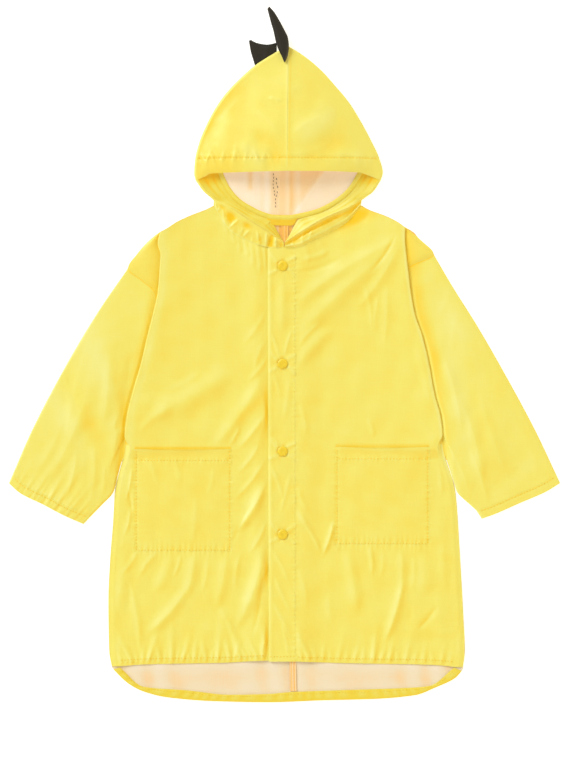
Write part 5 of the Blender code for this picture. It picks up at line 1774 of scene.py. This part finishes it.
    def facing(self, side: SideShape, ridge: Points, inner: Points) -> None:
        """The turned-in cloth inside the face opening.

        Args:
            side: the side.
            ridge: its outer edge, (out, y, height).
            inner: its inner edge, beside the binding.
        """
        shares, across = ramp(120), ramp(20)
        down, over = shares[:, None], across[None, :]
        crest, foot = along(ridge, shares), along(inner, shares)
        height = UPPER_MID + (crest[:, 2:] - UPPER_MID) * (1 - over) ** 1.3
        height += .5 * np.sin(down * 23 + 2 * np.sin(down * 9)) * arch(over)
        grooves = bell(over - .35, .07) + .8 * bell(over - .72, .06)
        grooves = grooves * (.6 + .4 * np.sin(down * 17 + side.sign))
        grid = raised(between(crest[:, :2], foot, across), height - .5 * grooves)
        grid[:, :, 0] *= side.sign
        # Painted light and shade from the relief, a little paler overall, with painted shade in the grooves
        # and in the corner under the brim.
        painted_shading = painted_crease_shading(grid, .3) + .25 - .6 * grooves - .9 * ease((.16 - down) / .1)
        self.shop.cloth("edge_facing_" + side.name, "hood_facing_" + side.name, [grid],
            face_for(-side.sign), [painted_shading], [.5], self.shop.palette.facing, wall=COLLAR_WALL,
            rests_on=["hood_half_" + side.name])

    def binding(self) -> None:
        """The bound neck seam: a narrow rolled band that widens below it in the middle."""
        shares, across = ramp(150), ramp(18)
        inner = along(BINDING, shares)
        outer = offset_line(inner, BINDING_WIDTH)
        widen = 1 + 8 * ease((20 - np.abs(inner[:, :1] + 3)) / 8) / BINDING_WIDTH
        rolled = np.clip(across * widen, .0, 1)
        height = UPPER_MID + .5 + .9 * arch(rolled) ** .6
        height = height + .15 * np.sin(shares * 160)[:, None] * arch(rolled)
        grid = raised(between(inner, inner + (outer - inner) * widen, across), height)
        # Painted highlight on the rolled band and painted shade on its wide part below.
        self.shop.cloth("neck_seam_binding", "neck_binding", [grid], Face.OUTER_DOWN,
            [.35 * arch(rolled) - .55 * (rolled >= 1)], cover=self.shop.palette.facing,
            rests_on=["back_panel_left"])

    def spikes(self) -> None:
        """Two stuffed satin spikes: each a blade between two edges, swollen in its middle."""
        front = np.array([
            # y, x of the left edge, x of the right edge, height
            (395.5, .2, 1.6, 10.6), (404, -3.5, 4.5, 11.2), (414, -8.5, 5.8, 11.8),
            (425, -12, 4.5, 12.2), (437, -14.5, -1, 12.4), (449, -18, -7.5, 12.2),
            (459, -20.5, -13.5, 11.8), (467.4, -22.6, -20.8, 11.2)])
        rear = np.array([
            # x and y of the left edge, x and y of the right edge, from the base to the tip
            (-39.9, 390.8, -10.5, 409.5), (-43, 401, -10.5, 421.5), (-45.4, 409, -23, 418.8),
            (-47, 418, -37, 421), (-47.9, 424.3, -45.6, 425)])
        rows = refine_rows(front[:, None, :], np.arange(8), np.linspace(0, 7, 60))[:, 0]
        across = ramp(17)
        x = rows[:, 1:2] + (rows[:, 2:3] - rows[:, 1:2]) * across
        y = rows[:, 0:1] + 3 * (across - .5)
        dome = 1.6 * arch(across) ** .8 + .5 * bell(across - .35, .12)
        blade = np.stack([x, y, rows[:, 3:4] + dome - .2], axis=-1)
        rows = refine_rows(rear[:, None, :], np.arange(5), np.linspace(0, 4, 40))[:, 0]
        dome = arch(across)[None, :] * np.linspace(1, .3, 40)[:, None]
        height = .75 + .9 * dome + .3 * np.sin(across * 14) * dome
        hook = raised(between(rows[:, :2], rows[:, 2:4], across), height)
        for place, grid, below in (("front", blade, "hood_half_left"), ("rear", hook, "floor")):
            self.shop.cloth("crown_spike_" + place, "spike_" + place, [grid], Face.OUTER_DOWN,
                cover=self.shop.palette.spike, wall=1.3, rests_on=[below])


def back_painted_shading(grid: Array) -> Array:
    """Painted shading of a back panel: painted light and shade from its relief, and painted shade inside the
    neck opening.
    """
    neck = ease((grid[:, :, 1] - 140) / 12)
    return painted_crease_shading(grid, 1) - (.8 + .35 * np.sin(grid[:, :, 0] * .9 + .7)) * neck


def back_seam_x(y: Array) -> Array:
    """x of the centre-back seam, which drifts to the right towards the hem."""
    return 12 * (184 - np.asarray(y, dtype=float)) / 652


@dataclass
class Back:
    """Both back panels with the tape on their seam and the turned hem."""
    shop: Workshop

    def build(self, grids: Grids) -> None:
        """Make the pieces.

        Args:
            grids: the coat's grids; the back adds its hem facing.
        """
        for side in (LEFT, RIGHT):
            grid = self.panel(side)
            self.shop.cloth("back_panel_" + side.name, "back_" + side.name, [grid], face_for(-side.sign),
                [back_painted_shading(grid)])
        self.tape()
        grids["hem_facing"] = self.hem_facing()

    def panel(self, side: SideShape) -> Array:
        """One back panel: rows from the shoulder line to the curved hem, flat on the floor.

        Args:
            side: the side's tables.

        Returns:
            The grid.
        """
        start, sign = side.shoulder[-1][1], side.sign
        armhole = [p for p in side.seam if p[1] <= start + .1]
        outline = armhole + [p for p in side.edge if p[1] < armhole[-1][1] - 1]
        top = [p for p in BACK_NECK if p[0] < side.shoulder[0][0]] + list(side.shoulder)
        hem_y = float(y_at(BACK_HEM, sign * side.edge[-1][0]))
        keys = -np.array([start, 84, 26, -50, -110, -143, -232, -335, -400, hem_y])
        shares = [1, .8, .45, .15, 0, 0, 0, 0, 0, 0]
        hems = [0, 0, 0, 0, 0, 0, .05, .25, .6, 1]
        fine = np.concatenate([np.linspace(start, -330, 70), np.linspace(-330, hem_y, 50)[1:]])
        rows = []
        for y_row in fine:
            share, hem = (float(np.interp(-y_row, keys, table)) for table in (shares, hems))
            outer = float(out_at(outline, y_row)) + (1 if y_row > FOLD_END else -.1)
            y_seam = y_row + (184.5 - start) * share + (-468 - hem_y) * hem
            inner = sign * float(back_seam_x(y_seam)) + SEAM_GAP / 2
            out = outer + (inner - outer) * ramp(90)
            y = y_row + (y_at(top, out) - y_at(top, outer)) * share
            y += (y_at(BACK_HEM, sign * out) - hem_y) * hem
            rows.append(np.stack([sign * out, y], axis=-1))
        plan = np.array(rows)
        x, y = plan[:, :, 0], plan[:, :, 1]
        wave = .5 + .5 * np.sin(x / 7.3 + 2 * np.sin(x / 31) + .02 * y)
        low = ease((-395 - y) / 20) * ease((y + 461) / 12)
        hem_gap = np.abs(y - y_at(FRONT_HEM, x) + 2)
        lift = .62 * bell(hem_gap, 13) * ease((225 - np.abs(x)) / 20)
        return raised(plan, FLOOR_MID + .5 * low * wave + lift)

    def tape(self) -> None:
        """The tape on the centre-back seam: three narrow ridges side by side."""
        y, across = np.linspace(180.5, -453.5, 160)[:, None], np.linspace(-1, 1, 11)[None, :]
        x = back_seam_x(y) + across * 4.5
        height = UPPER_MID + .3 * np.cos(across * 6) + .6 * bell(y + 417, 18)
        shade = -.75 * np.abs(np.sin(across * 4.2)) - .1 - .5 * ease((y - 140) / 12)
        self.shop.cloth("centre_back_tape", "back_seam_tape", [np.stack([x, y + .0 * x, height], -1)],
            Face.OUTER_DOWN, [shade], cover=self.shop.palette.tape, rests_on=BACKS)

    def hem_facing(self) -> Array:
        """The back hem turned up inside, rippled along its stitched inner edge.

        Returns:
            The grid.
        """
        shares, across = ramp(220), ramp(10)
        outer, inner = along(BACK_HEM, shares * .988 + .006), along(HEM_FACING, shares)
        ripple = np.sin(shares * 190 + 3 * np.sin(shares * 23))
        height = UPPER_MID + .25 * ripple[:, None] * arch(across) + .5 * arch(across) ** .5
        grid = raised(between(outer, inner, across), height)
        self.shop.cloth("back_hem_facing", "hem_facing_back", [grid], Face.OUTER_UP,
            [painted_crease_shading(grid, .8)], cover=self.shop.palette.facing, rests_on=BACKS)
        return grid


def sample(grid: Array, rows: Array | float, columns: Array | float) -> tuple[Array, Array]:
    """Points and normals of a grid at fractional rows and columns, by bilinear mixing.

    Args:
        grid: (rows, columns, 3).
        rows, columns: places along the two axes, as shares from 0 to 1.

    Returns:
        Points and unit normals.
    """
    both = np.concatenate([grid, normals_of(grid)], axis=2)
    rows, columns = np.broadcast_arrays(rows, columns)
    r = np.clip(rows, .0, 1) * (grid.shape[0] - 1)
    c = np.clip(columns, .0, 1) * (grid.shape[1] - 1)
    r0 = np.minimum(r.astype(int), grid.shape[0] - 2)
    c0 = np.minimum(c.astype(int), grid.shape[1] - 2)
    fr, fc = (r - r0)[:, None], (c - c0)[:, None]
    mixed = ((1 - fr) * (1 - fc) * both[r0, c0] + fr * (1 - fc) * both[r0 + 1, c0]
        + (1 - fr) * fc * both[r0, c0 + 1] + fr * fc * both[r0 + 1, c0 + 1])
    return mixed[:, :3], unit(mixed[:, 3:])


@dataclass
class Seamstress:
    """Rows of machine stitches: a short thread of round section dips in at each needle hole."""
    shop: Workshop
    pitch: float = 4.3
    share: float = .6
    thick: float = .45

    def row(self, line: Array, normal: Array, lift: float) -> tuple[Array, Array]:
        """Split a line into stitches.

        Args:
            line, normal: dense points along the seam and their unit normals.
            lift: height of the thread's middle above the line.

        Returns:
            Points (stitches, 7, 3) along each stitch, and the radius at each of the seven.
        """
        reach = reach_of(line)
        count = max(int(reach[-1] / self.pitch), 1)
        share = np.linspace(-.5, .5, 7)
        place = (np.arange(count)[:, None] + .5 + self.share * share) * reach[-1] / count
        points, ways = read_line(place, reach, line), read_line(place, reach, normal)
        bow = lift + .3 * (np.cos(2 * np.pi * share) - .4)
        radius = self.thick * np.cos(np.pi * share * .94) ** .35
        return points + ways * bow[None, :, None], np.broadcast_to(radius, place.shape)

    def sew(self, name: str, rows: Sequence[tuple[Array, Array]], lift: float,
            material: Material | None = None) -> None:
        """Make all the stitches of a piece as one object: a tube of six sides for each.

        Args:
            name: the object's name.
            rows: lines with their normals.
            lift: height of the thread's middle above the lines.
            material: the thread's finish, yellow if left out.
        """
        made = [self.row(line, normal, lift) for line, normal in rows]
        points, radius = (np.concatenate([m[k] for m in made]) for k in (0, 1))
        ahead = unit(np.gradient(points, axis=1))
        side = np.cross(ahead, np.array([.0, .0, 1]))
        side /= np.maximum(np.linalg.norm(side, axis=2, keepdims=True), 1e-9)
        up = np.cross(side, ahead)
        angle = np.linspace(.0, 2 * np.pi, 6, endpoint=False)[:, None]
        ring = side[:, :, None] * np.cos(angle) + up[:, :, None] * np.sin(angle)
        tube = points[:, :, None] + ring * radius[:, :, None, None]
        corner = np.arange(len(tube) * 42).reshape(len(tube), 7, 6)
        after = np.roll(corner, -1, axis=2)
        quads = np.stack([corner[:, :-1], corner[:, 1:], after[:, 1:], after[:, :-1]], -1)
        first, last = corner[:, 0], corner[:, -1]
        faces = np.concatenate([quads.reshape(-1, 4), first[:, [0, 1, 2, 3]], first[:, [0, 3, 4, 5]],
            last[:, [3, 2, 1, 0]], last[:, [5, 4, 3, 0]]])
        mesh = bpy.data.meshes.new(name)
        mesh.from_pydata((tube.reshape(-1, 3) * MM).tolist(), [], faces.tolist())
        mesh.shade_smooth()
        self.shop.place(name, mesh, "raincoat_yellow", None, [material or self.shop.palette.thread])

    def build(self, grids: Grids) -> None:
        """Sew every visible row of stitches.

        Args:
            grids: the coat's grids.
        """
        run, over, palette = ramp(400), SHELL / 2 + .12, self.shop.palette
        for name in ("left", "right"):
            grid, edge, low = grids["pocket_" + name], .022, .98 - .022 * .7
            path_r = np.concatenate([.02 + run * low, low + .02 + 0 * run, low - run * (low - .02)])
            path_c = np.concatenate([edge + 0 * run, edge + run * (1 - 2 * edge), 1 - edge + 0 * run])
            self.sew("pocket_stitches_" + name, [sample(grid, path_r, path_c),
                sample(grid, .115, .03 + .94 * run)], POCKET_WALL / 2 + .1)
        hem = []
        for name, first, stop in (("front_left", HEM_START, .905), ("front_right", HEM_START, .99),
                ("placket", 0, .99)):
            flat = grids[name][:, first:]
            rise = np.abs(flat[-8, :, 1].mean() - flat[-1, :, 1].mean())
            up = 7.4 / rise * 7 / (flat.shape[0] - 1)
            hem.append(sample(flat, 1 - up, .01 + (stop - .01) * run))
        self.sew("front_hem_stitches", hem, over)
        self.sew("placket_stitches", [sample(grids["placket"], .02 + .96 * run, .045)], over - .1,
            palette.coat.outer)
        self.sew("back_hem_stitches", [sample(grids["hem_facing"], .01 + .98 * run, .78)], over)
        self.sew("cuff_stitches", [sample(grids["cuff_" + name], .2, .02 + .96 * run)
            for name in ("right", "left")], over)
        brim = []
        for name in ("left", "right"):
            grid = grids["hood_" + name]
            y, places = grid[:, :, 1], np.arange(TOP_COLUMNS)[::-1]
            column = np.array([np.interp(-STITCH_Y, -row[::-1], places) if row.max() > STITCH_Y else -1
                for row in y])
            keep = np.flatnonzero(column >= .0)
            brim.append(sample(grid, keep / (len(y) - 1), column[keep] / (TOP_COLUMNS - 1)))
        self.sew("brim_stitches", brim, over)
        tacks, lines = ramp(60), []
        for x0, y0, x1, y1 in ((-15.5, 246, -14, 214), (-11.5, 240, -9.5, 224), (-10, 222, -13, 198)):
            line = np.stack([x0 + (x1 - x0) * tacks + .6 * np.sin(9 * tacks), y0 + (y1 - y0) * tacks,
                2.6 + .0 * tacks], axis=1)
            lines.append((line, np.tile([.0, .0, 1], (60, 1))))
        self.sew("hood_seam_threads", lines, .2, palette.dark_thread)


class Studio:
    """Pale floor, soft lights and the camera straight above."""

    CENTRE = (.004725, -.03915)
    HEIGHT = 4
    FRAME_HEIGHT = 1.0368

    def build(self, palette: Palette) -> None:
        """Make the floor, the lights, the world and the camera.

        Args:
            palette: the materials.
        """
        size = 3
        corners = [(-size, -size, .0), (size, -size, .0), (size, size, .0), (-size, size, .0)]
        mesh = bpy.data.meshes.new("floor")
        mesh.from_pydata(corners, [], [(0, 1, 2, 3)])
        mesh.materials.append(palette.floor)
        shader = palette.floor.node_tree.nodes["Principled BSDF"]
        shader.inputs["Emission Color"].default_value = (1, 1, 1, 1)
        shader.inputs["Emission Strength"].default_value = .7
        floor = bpy.data.objects.new("floor", mesh)
        floor.location = (.0, .0, -.0002)
        bpy.context.scene.collection.objects.link(floor)
        self.light("key", (-.72, .68, .6), 32, 2.75, (.95, 1, 1))
        self.light("fill_right", (1, .1, .45), 50, .9, (1, .82, .5))
        self.light("fill_low", (.1, -1, .5), 50, 1.2, (1, .85, .58))
        world = bpy.data.worlds.new("studio")
        world.use_nodes = True
        world.node_tree.nodes["Background"].inputs["Color"].default_value = (1, .85, .57, 1)
        world.node_tree.nodes["Background"].inputs["Strength"].default_value = .44
        scene = bpy.context.scene
        scene.world = world
        scene.view_settings.view_transform = "Standard"
        scene.view_settings.look = "None"
        data = bpy.data.cameras.new("camera")
        data.sensor_width = 36
        data.lens = 36 * self.HEIGHT / self.FRAME_HEIGHT
        camera = bpy.data.objects.new("camera", data)
        camera.location = (self.CENTRE[0], self.CENTRE[1], self.HEIGHT)
        scene.collection.objects.link(camera)
        scene.camera = camera

    def light(self, name: str, way: tuple[float, float, float], spread: float, power: float,
            colour: tuple[float, float, float]) -> None:
        """A far soft light, even over the whole coat.

        Args:
            name: its name.
            way: direction towards it.
            spread, power: its angular size in degrees and its strength.
            colour: its colour; the fills are warm, as light is that comes through yellow cloth.
        """
        data = bpy.data.lights.new(name, "SUN")
        data.color = colour
        data.angle = math.radians(spread)
        data.energy = power
        lamp = bpy.data.objects.new(name, data)
        pitch = math.atan2(math.hypot(way[0], way[1]), way[2])
        lamp.rotation_euler = (pitch, .0, math.atan2(way[1], way[0]) + math.pi / 2)
        lamp.location = (way[0] * 2, way[1] * 2, way[2] * 2)
        bpy.context.scene.collection.objects.link(lamp)


def main() -> None:
    """Load the solids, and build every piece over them."""
    logging.basicConfig(level=logging.INFO, format="%(name)s %(message)s")
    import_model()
    palette = Palette()
    shop = Workshop(palette)
    Studio().build(palette)
    grids = Body(shop).build()
    Sleeves(shop).build(grids)
    Hood(shop).build(grids)
    Back(shop).build(grids)
    Seamstress(shop).build(grids)
    for line in shop.cuts:
        log.info("cut of %s", line)


if __name__ == "__main__":
    main()
